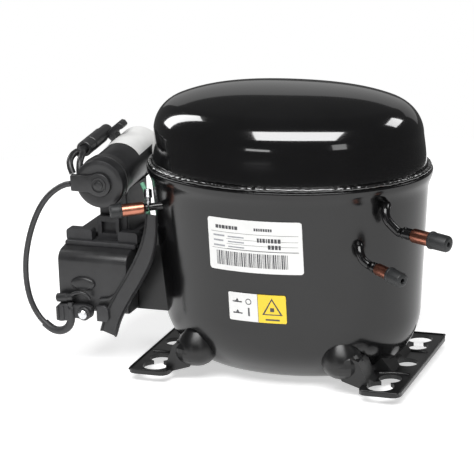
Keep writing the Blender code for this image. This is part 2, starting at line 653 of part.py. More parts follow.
def build_strap():
    """The band around the capacitor, with its knuckle and the hooked tab behind it."""
    inner, outer = CAN_RADIUS + GAP, CAN_RADIUS + 0.0016
    band = turned((CAN_X, 0.0168, CAN_Z), (0, 1, 0),
                  [(0.0, inner), (0.0, outer), (0.0100, outer), (0.0100, inner)], 32, closed=True)
    band = make_object("capacitor_strap", band, "black_plastic", on_can=True)
    hook = [(-0.1335, 0.1480), (-0.1378, 0.1530), (-0.1360, 0.1580), (-0.1285, 0.1640), (-0.1252, 0.1600),
            (-0.1310, 0.1560), (-0.1322, 0.1535), (-0.1290, 0.1508)]
    join(band, make_guide("strap_hook", prism(hook, 0.0165, 0.0270, "XZ"), on_can=True))
    knuckle_x, knuckle_z = -0.1417, 0.1546
    knuckle = turned((knuckle_x, -0.0200, knuckle_z), (0, 1, 0),
                     [(0.0, 0.0036), (0.0, 0.0055), (0.0470, 0.0055), (0.0470, 0.0036)], 16, closed=True)
    join(band, make_guide("strap_knuckle", knuckle, on_can=True))
    web = prism([(-0.1395, 0.1500), (-0.1350, 0.1550), (-0.1310, 0.1525), (-0.1355, 0.1470)], 0.0172,
                0.0205, "XZ")
    join(band, make_guide("strap_web", web, on_can=True))
    can = rod((CAN_X, 0.0, CAN_Z), (CAN_X, 0.0380, CAN_Z), CAN_RADIUS + GAP - 0.00006, 32)
    cut(band, make_guide("strap_bore", can, on_can=True))
    latch = rod((knuckle_x, -0.0330, knuckle_z), (knuckle_x, 0.0200, knuckle_z), 0.0032, 12)
    latch = make_object("strap_latch", latch, "black_plastic", on_can=True)
    for i, lean in enumerate((-1, 1)):
        prong = [(knuckle_x + 0.0008 * lean, knuckle_z + 0.0046),
                 (knuckle_x + 0.0056 * lean, knuckle_z + 0.0030),
                 (knuckle_x + 0.0056 * lean, knuckle_z - 0.0050), (knuckle_x + 0.0020 * lean,
                                                                   knuckle_z - 0.0074),
                 (knuckle_x + 0.0008 * lean, knuckle_z - 0.0060)]
        join(latch, make_guide(f"latch_prong_{i}", prism(prong, -0.0400, -0.0290, "XZ"), on_can=True))
    bridge = block((knuckle_x - 0.0030, -0.0322, knuckle_z - 0.0030),
                   (knuckle_x + 0.0030, -0.0300, knuckle_z + 0.0040))
    return join(latch, make_guide("latch_bridge", bridge, on_can=True))


CABLE_ROUTE = [
    (-0.1426, -0.0470, 0.1371), (-0.1480, -0.0470, 0.1358), (-0.1545, -0.0470, 0.1322),
    (-0.1615, -0.0470, 0.1262), (-0.1680, -0.0470, 0.1175), (-0.1737, -0.0470, 0.1060),
    (-0.1783, -0.0470, 0.0925), (-0.1813, -0.0470, 0.0775), (-0.1816, -0.0472, 0.0620),
    (-0.1787, -0.0478, 0.0480), (-0.1722, -0.0488, 0.0368), (-0.1630, -0.0502, 0.0296),
    (-0.1555, -0.0515, 0.0285), (-0.1490, -0.0523, 0.0315), (-0.1458, -0.0525, 0.0375),
    (-0.1455, -0.0525, 0.0450), (-0.1455, -0.0525, 0.0510),
]


def build_cable():
    return tube("capacitor_cable", CABLE_ROUTE, CABLE_RADIUS, "cable", spacing=0.0100)


def build_earth_lead():
    """The green earth lead from the capacitor holder to a tag on the fence."""
    route = [(-0.1030, -0.0130, 0.1310), (-0.1002, -0.0145, 0.1268), (-0.0988, -0.0150, 0.1190),
             (-0.0988, -0.0140, 0.1090), (-0.1000, -0.0085, 0.1022)]
    tube("earth_lead", route, 0.0016, "green_wire", spacing=0.0050)
    screw = turned((-0.1005, -0.0080, 0.1003), (0, 0, -1),
                   [(0.0, 0.0025), (0.0006, 0.0038), (0.0030, 0.0038), (0.0030, 0.0018),
                    (0.0049, 0.0018)], 12)
    make_object("earth_screw", screw, "zinc")


def build_sticker():
    """A blank sticker wrapped over the top of the can behind the cap."""
    low, high = CAN_RADIUS + 0.0001 + GAP, CAN_RADIUS + 0.0003 + GAP
    outer = arc((CAN_X, CAN_Z), high, 128, 32, 10)
    inner = arc((CAN_X, CAN_Z), low, 32, 128, 10)
    sheet = prism(outer + inner, -0.0030, 0.0162, "XZ")
    return make_object("capacitor_sticker", sheet, "label", on_can=True)


# ---------------------------------------------------------------- pump
def build_crankcase():
    """The cast block: bearing plate, bearing hub, cylinder and four posts that stand on the stator."""
    plate = prism(rounded_rectangle(CRANK_X - 0.051, CRANK_Y - 0.047, CRANK_X + 0.051, CRANK_Y + 0.047,
                                    0.012),
                  0.1130, 0.1236)
    case = make_object("crankcase", plate, "cast_iron")
    half = 0.0230
    cylinder = block((0.0300, CRANK_Y - half, CYLINDER_Z - half),
                     (BLOCK_FACE_X, CRANK_Y + half, CYLINDER_Z + half), 0.002, 1)
    hub = rod((CRANK_X, CRANK_Y, 0.0985), (CRANK_X, CRANK_Y, 0.1200), 0.0150, 24)
    join(case, make_guide("cylinder_body", cylinder), make_guide("bearing_hub", hub))
    for i, (x, y) in enumerate(((-1, -1), (1, -1), (1, 1), (-1, 1))):
        place = (CRANK_X + 0.0440 * x, CRANK_Y + 0.0400 * y)
        post = rod((*place, STATOR_Z1 + GAP), (*place, 0.1180), 0.0055, 12)
        join(case, make_guide(f"post_{i}", post))
    bore = rod((0.0200, CRANK_Y, CYLINDER_Z), (0.0700, CRANK_Y, CYLINDER_Z), BORE, 32)
    bearing = rod((CRANK_X, CRANK_Y, 0.0900), (CRANK_X, CRANK_Y, 0.1300), BEARING_RADIUS, 32)
    cut(case, make_guide("cylinder_bore", bore), make_guide("main_bearing", bearing))
    for i, (y, z) in enumerate(bolt_places()):
        cut(case, make_guide(f"tapped_hole_{i}", rod((0.0460, y, z), (0.0700, y, z), 0.0027, 12)))
    return case


def bolt_places():
    reach = 0.0180
    return [(CRANK_Y + y * reach, CYLINDER_Z + z * reach) for y, z in ((-1, -1), (1, -1), (1, 1), (-1, 1))]


def build_head():
    """Suction reed, valve plate, cylinder head and its four bolts, stacked on the block's end face."""
    x = BLOCK_FACE_X + GAP
    half = 0.0230
    reed = prism(rounded_rectangle(CRANK_Y - 0.0050, CYLINDER_Z - 0.0120, CRANK_Y + 0.0050,
                                   CYLINDER_Z + 0.0150, 0.004),
                 x, x + 0.0003, "YZ")
    make_object("suction_reed", reed, "steel")
    x += 0.0006
    low, high = (x, CRANK_Y - half, CYLINDER_Z - half), (x + 0.0035, CRANK_Y + half, CYLINDER_Z + half)
    plate = make_object("valve_plate", block(low, high), "steel")
    x = high[0] + GAP
    end = x + 0.0150
    head = make_object("cylinder_head", block((x, *low[1:]), (end, *high[1:]), 0.002, 1), "aluminium")
    for i, (side, width) in enumerate(((-1, 0.0110), (1, 0.0110))):
        middle = CRANK_Y + side * 0.0068
        room = block((x - 0.002, middle - width / 2, CYLINDER_Z - 0.0130),
                     (end - 0.003, middle + width / 2, CYLINDER_Z + 0.0130))
        cut(head, make_guide(f"plenum_{i}", room))
        port = rod((x - 0.010, middle, CYLINDER_Z), (x + 0.005, middle, CYLINDER_Z), 0.0028, 12)
        cut(plate, make_guide(f"port_{i}", port))
    for i, (y, z) in enumerate(bolt_places()):
        drill = make_guide(f"bolt_drill_{i}", rod((0.0500, y, z), (0.0900, y, z), 0.0027, 12))
        cut(plate, drill)
        cut(head, drill)
        bolt = turned((end + 0.0043, y, z), (-1, 0, 0),
                      [(0.0, 0.0040), (0.0004, 0.0046), (0.0040, 0.0046), (0.0040, 0.0024),
                       (0.0320, 0.0024)], 12)
        make_object(f"head_bolt_{i + 1}", bolt, "steel")
    return head


def build_running_gear():
    """Crankshaft, crank-pin sleeve, connecting rod, wrist pin and piston at top dead centre."""
    axis = (CRANK_X, CRANK_Y, 0.0)
    pin_x = CRANK_X + CRANK_THROW
    wrist_x = pin_x + ROD_LENGTH
    web = circle((CRANK_X, CRANK_Y, WEB_BASE_Z), WEB_RADIUS, (0, 0, 1), 32)
    rings = [circle((CRANK_X, CRANK_Y, z), radius, (0, 0, 1), 32)
             for z, radius in ((0.0340, 0.0080), (0.0345, SHAFT_RADIUS), (WEB_BASE_Z, SHAFT_RADIUS))]
    rings += [web, [(x, y, WEB_TOP_Z) for x, y, _ in web]]
    make_object("crankshaft", loft(rings), "steel", origin=axis)
    pickup = [(0.0, 0.0030), (0.0, 0.0045), (0.0240, 0.0078), (0.0257, 0.0078), (0.0257, 0.0062),
              (0.0240, 0.0062)]
    make_object("oil_pickup", turned((CRANK_X, CRANK_Y, 0.0080), (0, 0, 1), pickup, 16, closed=True),
                "steel",
                origin=axis)
    big_end = (pin_x, CRANK_Y, CYLINDER_Z)
    wrist = (wrist_x, CRANK_Y, CYLINDER_Z)
    sleeve = turned((pin_x, CRANK_Y, WEB_TOP_Z + 0.0004), (0, 0, 1),
                    [(0.0, 0.0068), (0.0168, 0.0068), (0.0173, 0.0063), (0.0173, 0.0030),
                     (0.0, 0.0030)], 24, closed=True)
    make_object("crank_pin_sleeve", sleeve, "steel", origin=wrist)
    shank = block((pin_x + 0.004, CRANK_Y - 0.0035, CYLINDER_Z - 0.0030),
                  (wrist_x - 0.003, CRANK_Y + 0.0035, CYLINDER_Z + 0.0030))
    con_rod = make_object("connecting_rod",
                          rod((pin_x, CRANK_Y, CYLINDER_Z - 0.0060), (pin_x, CRANK_Y, CYLINDER_Z + 0.0060), 0.0110),
                          "cast_iron", origin=wrist)
    small = rod((wrist_x, CRANK_Y, CYLINDER_Z - 0.0045), (wrist_x, CRANK_Y, CYLINDER_Z + 0.0045), 0.0066)
    join(con_rod, make_guide("rod_shank", shank), make_guide("rod_small_end", small))
    eye = rod((pin_x, CRANK_Y, 0.12), (pin_x, CRANK_Y, 0.16), 0.0070, 24)
    pin_hole = rod((wrist_x, CRANK_Y, 0.12), (wrist_x, CRANK_Y, 0.16), 0.0043, 24)
    cut(con_rod, make_guide("big_end_eye", eye), make_guide("small_end_eye", pin_hole))
    crown = wrist_x + 0.0098
    piston = make_object("piston", rod((wrist_x - 0.0105, CRANK_Y, CYLINDER_Z),
                                       (crown, CRANK_Y, CYLINDER_Z), PISTON_RADIUS, 32),
                         "cast_iron", origin=wrist)
    pocket = block((wrist_x - 0.0200, CRANK_Y - 0.0095, CYLINDER_Z - 0.0050),
                   (crown - 0.0030, CRANK_Y + 0.0095, CYLINDER_Z + 0.0050))
    cross = rod((wrist_x, CRANK_Y, 0.12), (wrist_x, CRANK_Y, 0.16), 0.0043, 24)
    cut(piston, make_guide("piston_pocket", pocket), make_guide("piston_cross_hole", cross))
    pin = rod((wrist_x, CRANK_Y, CYLINDER_Z - 0.0118), (wrist_x, CRANK_Y, CYLINDER_Z + 0.0118), 0.0040, 24)
    make_object("wrist_pin", pin, "steel", origin=wrist)
    return big_end


def build_motor():
    """Stator core, its two end windings and the rotor pressed on the shaft."""
    half_x, half_y = STATOR_LENGTH / 2, STATOR_WIDTH / 2
    core = prism(rounded_rectangle(CRANK_X - half_x, CRANK_Y - half_y, CRANK_X + half_x, CRANK_Y + half_y,
                                   0.014, 3),
                 STATOR_Z0, STATOR_Z1)
    core = make_object("stator_core", core, "lamination")
    cut(core, make_guide("stator_bore", rod((CRANK_X, CRANK_Y, 0.03), (CRANK_X, CRANK_Y, 0.11), STATOR_BORE,
                                            40)))
    winding = [(0.0, 0.0330), (0.0, 0.0420), (0.0060, 0.0430), (0.0110, 0.0420), (0.0140, 0.0390),
               (0.0130, 0.0350)]
    upper = turned((CRANK_X, CRANK_Y, STATOR_Z1 + GAP), (0, 0, 1), winding, 32, closed=True)
    lower = turned((CRANK_X, CRANK_Y, STATOR_Z0 - GAP), (0, 0, -1), winding, 32, closed=True)
    make_object("upper_winding", upper, "winding")
    make_object("lower_winding", lower, "winding")
    rotor = [(0.0, 0.0091), (0.0, 0.0260), (0.0030, 0.0300), (0.0030, ROTOR_RADIUS), (0.0480, ROTOR_RADIUS),
             (0.0480, 0.0300), (0.0510, 0.0260), (0.0510, 0.0091)]
    make_object("rotor", turned((CRANK_X, CRANK_Y, STATOR_Z0 - 0.0005), (0, 0, 1), rotor, 32, closed=True),
                "aluminium",
                origin=(CRANK_X, CRANK_Y, 0.0))


def spring_route(x, y, z0, z1, radius, turns):
    """Points of a helix with flattened end turns."""
    count = turns * 9
    points = []
    for i in range(count + 1):
        share = i / count
        lift = share - math.sin(2 * math.pi * share) / (2 * math.pi)
        angle = 2 * math.pi * turns * share
        points.append((x + radius * math.cos(angle), y + radius * math.sin(angle), z0 + (z1 - z0) * lift))
    return points


def build_suspension():
    """Four springs that stand in the bowl and carry the motor."""
    wire, coil = 0.0011, 0.0063
    for i, (x, y) in enumerate(spring_places()):
        points = spring_route(x, y, 0.0180 + wire + GAP, STATOR_Z0 - wire - GAP, coil, 4)
        name = f"suspension_spring_{i + 1}"
        curve = bpy.data.curves.new(name, "CURVE")
        curve.dimensions = "3D"
        curve.bevel_depth = wire
        curve.bevel_resolution = 1
        curve.use_fill_caps = True
        spline = curve.splines.new("POLY")
        spline.points.add(len(points) - 1)
        for knot, spot in zip(spline.points, points):
            knot.co = (*spot, 1.0)
        curve.materials.append(finish_material("steel"))
        bpy.context.scene.collection.objects.link(bpy.data.objects.new(name, curve))


def build_pump_lines():
    """The suction muffler, the long sprung discharge line and the motor's lead."""
    muffler = block((0.0280, 0.0285, 0.1260), (0.0600, 0.0500, 0.1640), 0.005, 2)
    make_object("suction_muffler", muffler, "grey_plastic")
    line = [(0.0700, -0.0218, 0.1320), (0.0690, -0.0330, 0.1310), (0.0560, -0.0480, 0.1280),
            (0.0300, -0.0570, 0.1230),
            (-0.0050, -0.0600, 0.1160), (-0.0350, -0.0560, 0.1100), (-0.0430, -0.0540, 0.1040),
            (-0.0350, -0.0555, 0.0985), (0.0000, -0.0595, 0.0985), (0.0350, -0.0550, 0.1040), (0.0580,
                                                                                               -0.0390, 0.1075),
            (0.0628, -0.0433, 0.1082)]
    tube("discharge_line", line, 0.0021, "copper", resolution=1, spacing=0.0080)
    lead = [(-0.0780, 0.0020, 0.0700), (-0.0720, 0.0020, 0.0760), (-0.0680, 0.0020, 0.0900),
            (-0.0620, 0.0020, 0.1010),
            (-0.0510, 0.0020, 0.1010)]
    tube("motor_lead", lead, 0.0025, "cable", resolution=1, spacing=0.0070)


def main():
    clear_scene()
    build_lower_housing()
    build_upper_housing()
    build_weld_bead()
    build_label("rating_label", -0.0335, 0.0340, 0.0890, 0.1265, "label")
    build_label("caution_label", -0.0205, 0.0210, 0.0530, 0.0735, "caution_label")
    build_base_plate("base_plate_right", 1)
    build_base_plate("base_plate_left", -1)
    for kind, spec in TUBES.items():
        build_tube_set(kind, spec)
    build_terminal()
    build_fence()
    build_relay_base()
    build_relay_cover()
    build_relay_parts()
    build_cover_strap()
    build_cable_clamp()
    build_capacitor()
    build_cradle()
    build_strap()
    build_cable()
    build_earth_lead()
    build_sticker()
    build_crankcase()
    build_head()
    build_running_gear()
    build_motor()
    build_suspension()
    build_pump_lines()


main()
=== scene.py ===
"""Studio picture of a hermetic refrigeration compressor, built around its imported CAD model."""

import json
import math

import bmesh
import bpy
from mathutils import Matrix, Vector, noise


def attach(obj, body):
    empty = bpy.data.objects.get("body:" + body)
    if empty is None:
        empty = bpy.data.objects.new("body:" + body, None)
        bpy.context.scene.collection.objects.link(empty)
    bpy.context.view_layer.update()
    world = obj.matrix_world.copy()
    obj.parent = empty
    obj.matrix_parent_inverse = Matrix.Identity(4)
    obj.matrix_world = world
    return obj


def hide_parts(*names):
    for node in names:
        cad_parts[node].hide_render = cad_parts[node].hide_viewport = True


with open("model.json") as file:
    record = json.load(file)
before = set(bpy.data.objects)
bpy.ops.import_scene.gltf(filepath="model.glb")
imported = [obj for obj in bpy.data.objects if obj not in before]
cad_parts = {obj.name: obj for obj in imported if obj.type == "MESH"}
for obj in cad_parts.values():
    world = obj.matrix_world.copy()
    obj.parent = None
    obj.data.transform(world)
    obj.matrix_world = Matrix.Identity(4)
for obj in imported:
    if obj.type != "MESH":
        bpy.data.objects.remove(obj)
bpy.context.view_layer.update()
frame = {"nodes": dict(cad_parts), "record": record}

BODY = "housing"
MM = 0.001


# ---------------------------------------------------------------- camera
def place_camera(azimuth, elevation, distance, roll, target, lens):
    """A long-lens camera on a sphere around its target, turned a little about its own axis."""
    a, e, r = (math.radians(angle) for angle in (azimuth, elevation, roll))
    back = Vector((math.sin(a) * math.cos(e), -math.cos(a) * math.cos(e), math.sin(e)))
    level = Vector((math.cos(a), math.sin(a), 0.0))
    above = back.cross(level)
    right = level * math.cos(r) + above * math.sin(r)
    up = above * math.cos(r) - level * math.sin(r)
    data = bpy.data.cameras.new("camera")
    data.lens = lens
    data.sensor_width = 36.0
    data.clip_start = 0.05
    camera = bpy.data.objects.new("camera", data)
    camera.matrix_world = Matrix.Translation(Vector(target) + back * distance) @ Matrix(
        (right, up, back)).transposed().to_4x4()
    bpy.context.scene.collection.objects.link(camera)
    bpy.context.scene.camera = camera
    return camera


place_camera(20.36, 16.68, 1.5246, -1.87, (-0.0242, -0.0350, 0.1030), 167.1)


# ---------------------------------------------------------------- materials
def new_material(name):
    material = bpy.data.materials.new(name)
    material.use_nodes = True
    tree = material.node_tree
    return material, tree, tree.nodes["Principled BSDF"]


def surface(name, colour, roughness, metallic=0.0, shade=0.15, grain=120.0, rough_spread=0.06,
            bump=0.0, bump_scale=900.0, stretch=(1, 1, 1), **sockets):
    """A procedural finish: a colour that drifts, a roughness that varies and a fine bump."""
    material, tree, shader = new_material(name)
    nodes, links = tree.nodes, tree.links
    place = nodes.new("ShaderNodeTexCoord")
    spread = nodes.new("ShaderNodeMapping")
    spread.inputs["Scale"].default_value = stretch
    links.new(place.outputs["Object"], spread.inputs["Vector"])
    cloud = nodes.new("ShaderNodeTexNoise")
    cloud.inputs["Scale"].default_value = grain
    cloud.inputs["Detail"].default_value = 5.0
    links.new(spread.outputs["Vector"], cloud.inputs["Vector"])
    ramp = nodes.new("ShaderNodeValToRGB")
    dark = [channel * (1 - shade) for channel in colour]
    light = [min(1.0, channel * (1 + shade)) for channel in colour]
    ramp.color_ramp.elements[0].position = 0.3
    ramp.color_ramp.elements[1].position = 0.7
    ramp.color_ramp.elements[0].color = (*dark, 1)
    ramp.color_ramp.elements[1].color = (*light, 1)
    links.new(cloud.outputs["Fac"], ramp.inputs["Fac"])
    links.new(ramp.outputs["Color"], shader.inputs["Base Color"])
    gloss = nodes.new("ShaderNodeMapRange")
    gloss.inputs["To Min"].default_value = max(0.02, roughness - rough_spread)
    gloss.inputs["To Max"].default_value = min(1.0, roughness + rough_spread)
    links.new(cloud.outputs["Fac"], gloss.inputs["Value"])
    links.new(gloss.outputs["Result"], shader.inputs["Roughness"])
    shader.inputs["Metallic"].default_value = metallic
    for socket, value in sockets.items():
        shader.inputs[socket.replace("_", " ")].default_value = value
    if bump:
        fine = nodes.new("ShaderNodeTexNoise")
        fine.inputs["Scale"].default_value = bump_scale
        fine.inputs["Detail"].default_value = 3.0
        links.new(spread.outputs["Vector"], fine.inputs["Vector"])
        relief = nodes.new("ShaderNodeBump")
        relief.inputs["Strength"].default_value = 1.0
        relief.inputs["Distance"].default_value = bump
        links.new(fine.outputs["Fac"], relief.inputs["Height"])
        links.new(relief.outputs["Normal"], shader.inputs["Normal"])
    return material


def two_tone(name, colours, edge, axis, roughness, **sockets):
    """A printed film whose colour changes at a straight edge along one axis."""
    material, tree, shader = new_material(name)
    nodes, links = tree.nodes, tree.links
    place = nodes.new("ShaderNodeTexCoord")
    split = nodes.new("ShaderNodeSeparateXYZ")
    links.new(place.outputs["Object"], split.inputs["Vector"])
    step = nodes.new("ShaderNodeMath")
    step.operation = "GREATER_THAN"
    step.inputs[1].default_value = edge
    links.new(split.outputs[axis], step.inputs[0])
    fade = nodes.new("ShaderNodeTexNoise")
    fade.inputs["Scale"].default_value = 60.0
    links.new(place.outputs["Object"], fade.inputs["Vector"])
    ramp = nodes.new("ShaderNodeValToRGB")
    ramp.color_ramp.elements[0].color = (0.88, 0.88, 0.88, 1)
    ramp.color_ramp.elements[1].color = (1, 1, 1, 1)
    links.new(fade.outputs["Fac"], ramp.inputs["Fac"])
    pick = nodes.new("ShaderNodeMix")
    pick.data_type = "RGBA"
    pick.inputs["A"].default_value = (*colours[0], 1)
    pick.inputs["B"].default_value = (*colours[1], 1)
    links.new(step.outputs["Value"], pick.inputs["Factor"])
    tint = nodes.new("ShaderNodeMix")
    tint.data_type = "RGBA"
    tint.blend_type = "MULTIPLY"
    tint.inputs["Factor"].default_value = 1.0
    links.new(pick.outputs["Result"], tint.inputs["A"])
    links.new(ramp.outputs["Color"], tint.inputs["B"])
    links.new(tint.outputs["Result"], shader.inputs["Base Color"])
    shader.inputs["Roughness"].default_value = roughness
    for socket, value in sockets.items():
        shader.inputs[socket.replace("_", " ")].default_value = value
    return material


ENAMEL = surface("gloss_enamel", (0.004, 0.004, 0.0043), 0.17, shade=0.25, grain=35.0, rough_spread=0.03,
                 bump=0.000012, bump_scale=260.0)
LID_ENAMEL = surface("lid_enamel", (0.003, 0.003, 0.0033), 0.12, shade=0.25, grain=35.0, rough_spread=0.02,
                     bump=0.000008, bump_scale=200.0, Coat_Weight=1.0, Coat_Roughness=0.03, Coat_IOR=1.6)
WELD = surface("painted_weld", (0.006, 0.006, 0.006), 0.16, shade=0.3, grain=300.0, rough_spread=0.1,
               bump=0.0005, bump_scale=420.0, Coat_Weight=1.0, Coat_Roughness=0.06, Coat_IOR=1.7)
FOOT_ENAMEL = surface("foot_enamel", (0.006, 0.006, 0.0063), 0.34, shade=0.3, grain=90.0, rough_spread=0.08,
                      bump=0.00004, bump_scale=500.0)
SATIN = surface("satin_plastic", (0.018, 0.018, 0.019), 0.36, shade=0.2, grain=160.0, rough_spread=0.08,
                bump=0.00003, bump_scale=1500.0)
MATT = surface("moulded_plastic", (0.028, 0.028, 0.030), 0.5, shade=0.2, grain=220.0, rough_spread=0.08,
               bump=0.00004, bump_scale=2200.0)
GREY = surface("grey_plastic", (0.10, 0.10, 0.105), 0.5, grain=200.0, bump=0.00003, bump_scale=1800.0)
COPPER = surface("drawn_copper", (0.50, 0.20, 0.135), 0.30, metallic=1.0, shade=0.14, grain=160.0,
                 rough_spread=0.06,
                 bump=0.00001, bump_scale=500.0)
RUBBER = surface("plug_rubber", (0.014, 0.015, 0.016), 0.5, shade=0.25, grain=260.0, bump=0.00004,
                 bump_scale=1600.0)
JACKET = surface("cable_jacket", (0.030, 0.030, 0.032), 0.42, shade=0.2, grain=200.0, bump=0.00002,
                 bump_scale=1800.0)
PAPER = surface("label_film", (0.74, 0.74, 0.73), 0.35, shade=0.04, grain=60.0, rough_spread=0.05)
STICKER = surface("can_sticker", (0.80, 0.80, 0.79), 0.45, shade=0.05, grain=80.0, rough_spread=0.05)
CAUTION = two_tone("caution_film", ((0.76, 0.76, 0.75), (0.83, 0.60, 0.03)), 0.0010, "X", 0.35)
INK = surface("printing_ink", (0.05, 0.05, 0.055), 0.5, shade=0.2, grain=900.0)
FAINT_INK = surface("faint_ink", (0.30, 0.31, 0.33), 0.5, shade=0.2, grain=900.0)
GREEN = surface("earth_insulation", (0.20, 0.50, 0.33), 0.38, shade=0.15, grain=150.0)
ZINC = surface("zinc_plate", (0.70, 0.71, 0.73), 0.28, metallic=1.0, grain=500.0, bump=0.00002,
               bump_scale=1200.0)
STEEL = surface("machined_steel", (0.42, 0.42, 0.44), 0.32, metallic=1.0, grain=120.0, bump=0.00002,
                bump_scale=900.0, stretch=(1, 1, 8))
IRON = surface("cast_iron", (0.16, 0.16, 0.17), 0.6, metallic=0.8, shade=0.3, grain=350.0, bump=0.00015,
               bump_scale=900.0)
LAMINATION = surface("laminations", (0.16, 0.17, 0.20), 0.45, metallic=0.9, grain=60.0, bump=0.0002,
                     bump_scale=260.0, stretch=(0.05, 0.05, 8))
WINDING = surface("enamelled_wire", (0.42, 0.13, 0.045), 0.32, metallic=0.6, shade=0.35, grain=500.0,
                  bump=0.0005, bump_scale=450.0)
ALUMINIUM = surface("cast_aluminium", (0.60, 0.61, 0.63), 0.38, metallic=1.0, grain=200.0, bump=0.00006,
                    bump_scale=800.0)
# ---------------------------------------------------------------- modelling helpers
def add_piece(name, mesh, material, slot, body=BODY, replaces=(), smooth=35.0):
    """Put a mesh in the scene as a piece that rides on a body."""
    mesh.shade_smooth()
    if smooth:
        mesh.set_sharp_from_angle(angle=math.radians(smooth))
    piece = bpy.data.objects.new(name, mesh)
    bpy.context.scene.collection.objects.link(piece)
    piece.data.materials.append(material)
    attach(piece, body)
    if replaces:
        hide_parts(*replaces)
    return piece


CAN_X, CAN_Z, CAN_RADIUS = -0.1212, 0.1381, 0.0165
CAN_FRONT, CAN_BACK = -0.0440, 0.0400
CAN_AXIS = (-0.045, 1.0, 0.046)
CAN_PIVOT = Matrix.Translation((CAN_X, CAN_FRONT, CAN_Z))
CAN_TURN = Vector((0, 1, 0)).rotation_difference(Vector(CAN_AXIS)).to_matrix().to_4x4()
CAN_TILT = CAN_PIVOT @ CAN_TURN @ CAN_PIVOT.inverted()


def finish_mesh(name, bm):
    bmesh.ops.recalc_face_normals(bm, faces=bm.faces)
    mesh = bpy.data.meshes.new(name)
    bm.to_mesh(mesh)
    bm.free()
    return mesh


def add_loft(bm, rings, closed=False, capped=True):
    """Skin neighbouring rings of points. A closed loft joins its last ring to its first one."""
    loops = [[bm.verts.new(point) for point in ring] for ring in rings]
    pairs = list(zip(loops, loops[1:]))
    if closed:
        pairs.append((loops[-1], loops[0]))
    for lower, upper in pairs:
        for i, vert in enumerate(lower):
            j = (i + 1) % len(lower)
            bm.faces.new((vert, lower[j], upper[j], upper[i]))
    if capped and not closed:
        bm.faces.new(loops[0])
        bm.faces.new(loops[-1])
    return loops


def circle(centre, radius, axis, sides):
    turn = Vector(axis).to_track_quat("Z", "Y")
    spokes = (2 * math.pi * i / sides for i in range(sides))
    return [Vector(centre) + turn @ Vector((radius * math.cos(a), radius * math.sin(a), 0)) for a in spokes]


def add_turned(bm, start, axis, profile, sides=48, closed=False):
    step = Vector(axis).normalized()
    rings = [circle(Vector(start) + step * along, radius, step, sides) for along, radius in profile]
    add_loft(bm, rings, closed)


def turned(name, start, axis, profile, material, slot, sides=48, closed=False, on_can=False, **kind):
    bm = bmesh.new()
    add_turned(bm, start, axis, profile, sides, closed)
    if on_can:
        bmesh.ops.transform(bm, matrix=CAN_TILT, verts=bm.verts)
    return add_piece(name, finish_mesh(name, bm), material, slot, **kind)


def arc(centre, radius, start, stop, count):
    angles = (math.radians(start + (stop - start) * i / (count - 1)) for i in range(count))
    return [(centre[0] + radius * math.cos(a), centre[1] + radius * math.sin(a)) for a in angles]


def rounded_rectangle(left, bottom, right, top, radius, count=6):
    corners = (
        (right - radius, top - radius, 0),
        (left + radius, top - radius, 90),
        (left + radius, bottom + radius, 180),
        (right - radius, bottom + radius, 270),
    )
    points = []
    for x, y, start in corners:
        points += arc((x, y), radius, start, start + 90, count)
    return points


PLANES = {
    "XY": lambda u, v, w: (u, v, w),
    "XZ": lambda u, v, w: (u, w, v),
    "YZ": lambda u, v, w: (w, u, v),
}


def inset(outline, amount):
    """Move an outline's corners inwards along its corner bisectors."""
    points = [Vector(p) for p in outline]
    area = sum(a.x * b.y - b.x * a.y for a, b in zip(points, points[1:] + points[:1]))
    turn = 1.0 if area > 0 else -1.0
    moved = []
    for i, here in enumerate(points):
        before, after = points[i - 1], points[(i + 1) % len(points)]
        first, second = (here - before).normalized(), (after - here).normalized()
        normals = [Vector((-d.y, d.x)) * turn for d in (first, second)]
        middle = normals[0] + normals[1]
        scale = amount * 2 / max(0.5, middle.length_squared)
        moved.append(tuple(here + middle * scale))
    return moved


def add_prism(bm, outline, low, high, plane="XY", round_edge=0.0, steps=3):
    """Extrude an outline, with its two end faces' edges rounded."""
    place = PLANES[plane]
    if not round_edge:
        add_loft(bm, [[place(u, v, w) for u, v in outline] for w in (low, high)])
        return
    rings = []
    for end, sign in ((low, 1), (high, -1)):
        stack = []
        for i in range(steps + 1):
            t = math.radians(90 * i / steps)
            edge = inset(outline, round_edge * (1 - math.sin(t)))
            stack.append([place(u, v, end + sign * round_edge * (1 - math.cos(t))) for u, v in edge])
        rings += stack if sign > 0 else stack[::-1]
    add_loft(bm, rings)


def prism(name, outline, low, high, plane, material, slot, round_edge=0.0004, on_can=False, **kind):
    bm = bmesh.new()
    add_prism(bm, outline, low, high, plane, round_edge)
    if on_can:
        bmesh.ops.transform(bm, matrix=CAN_TILT, verts=bm.verts)
    return add_piece(name, finish_mesh(name, bm), material, slot, **kind)


def smooth_route(points, count):
    """Evenly spaced points along a Catmull-Rom curve through the route's own points."""
    knots = [Vector(p) for p in points]
    knots = [knots[0] * 2 - knots[1]] + knots + [knots[-1] * 2 - knots[-2]]
    fine = []
    for a, b, c, d in zip(knots, knots[1:], knots[2:], knots[3:]):
        for i in range(24):
            t = i / 24
            fine.append(0.5 * (2 * b + (c - a) * t + (2 * a - 5 * b + 4 * c - d) * t**2
                               + (3 * b - a - 3 * c + d) * t**3))
    fine.append(knots[-2])
    walked = [0.0]
    for a, b in zip(fine, fine[1:]):
        walked.append(walked[-1] + (b - a).length)
    route = []
    j = 0
    for i in range(count + 1):
        goal = walked[-1] * i / count
        while j < len(walked) - 2 and walked[j + 1] < goal:
            j += 1
        share = (goal - walked[j]) / (walked[j + 1] - walked[j])
        route.append(fine[j].lerp(fine[j + 1], min(1.0, share)))
    return route, walked[-1]


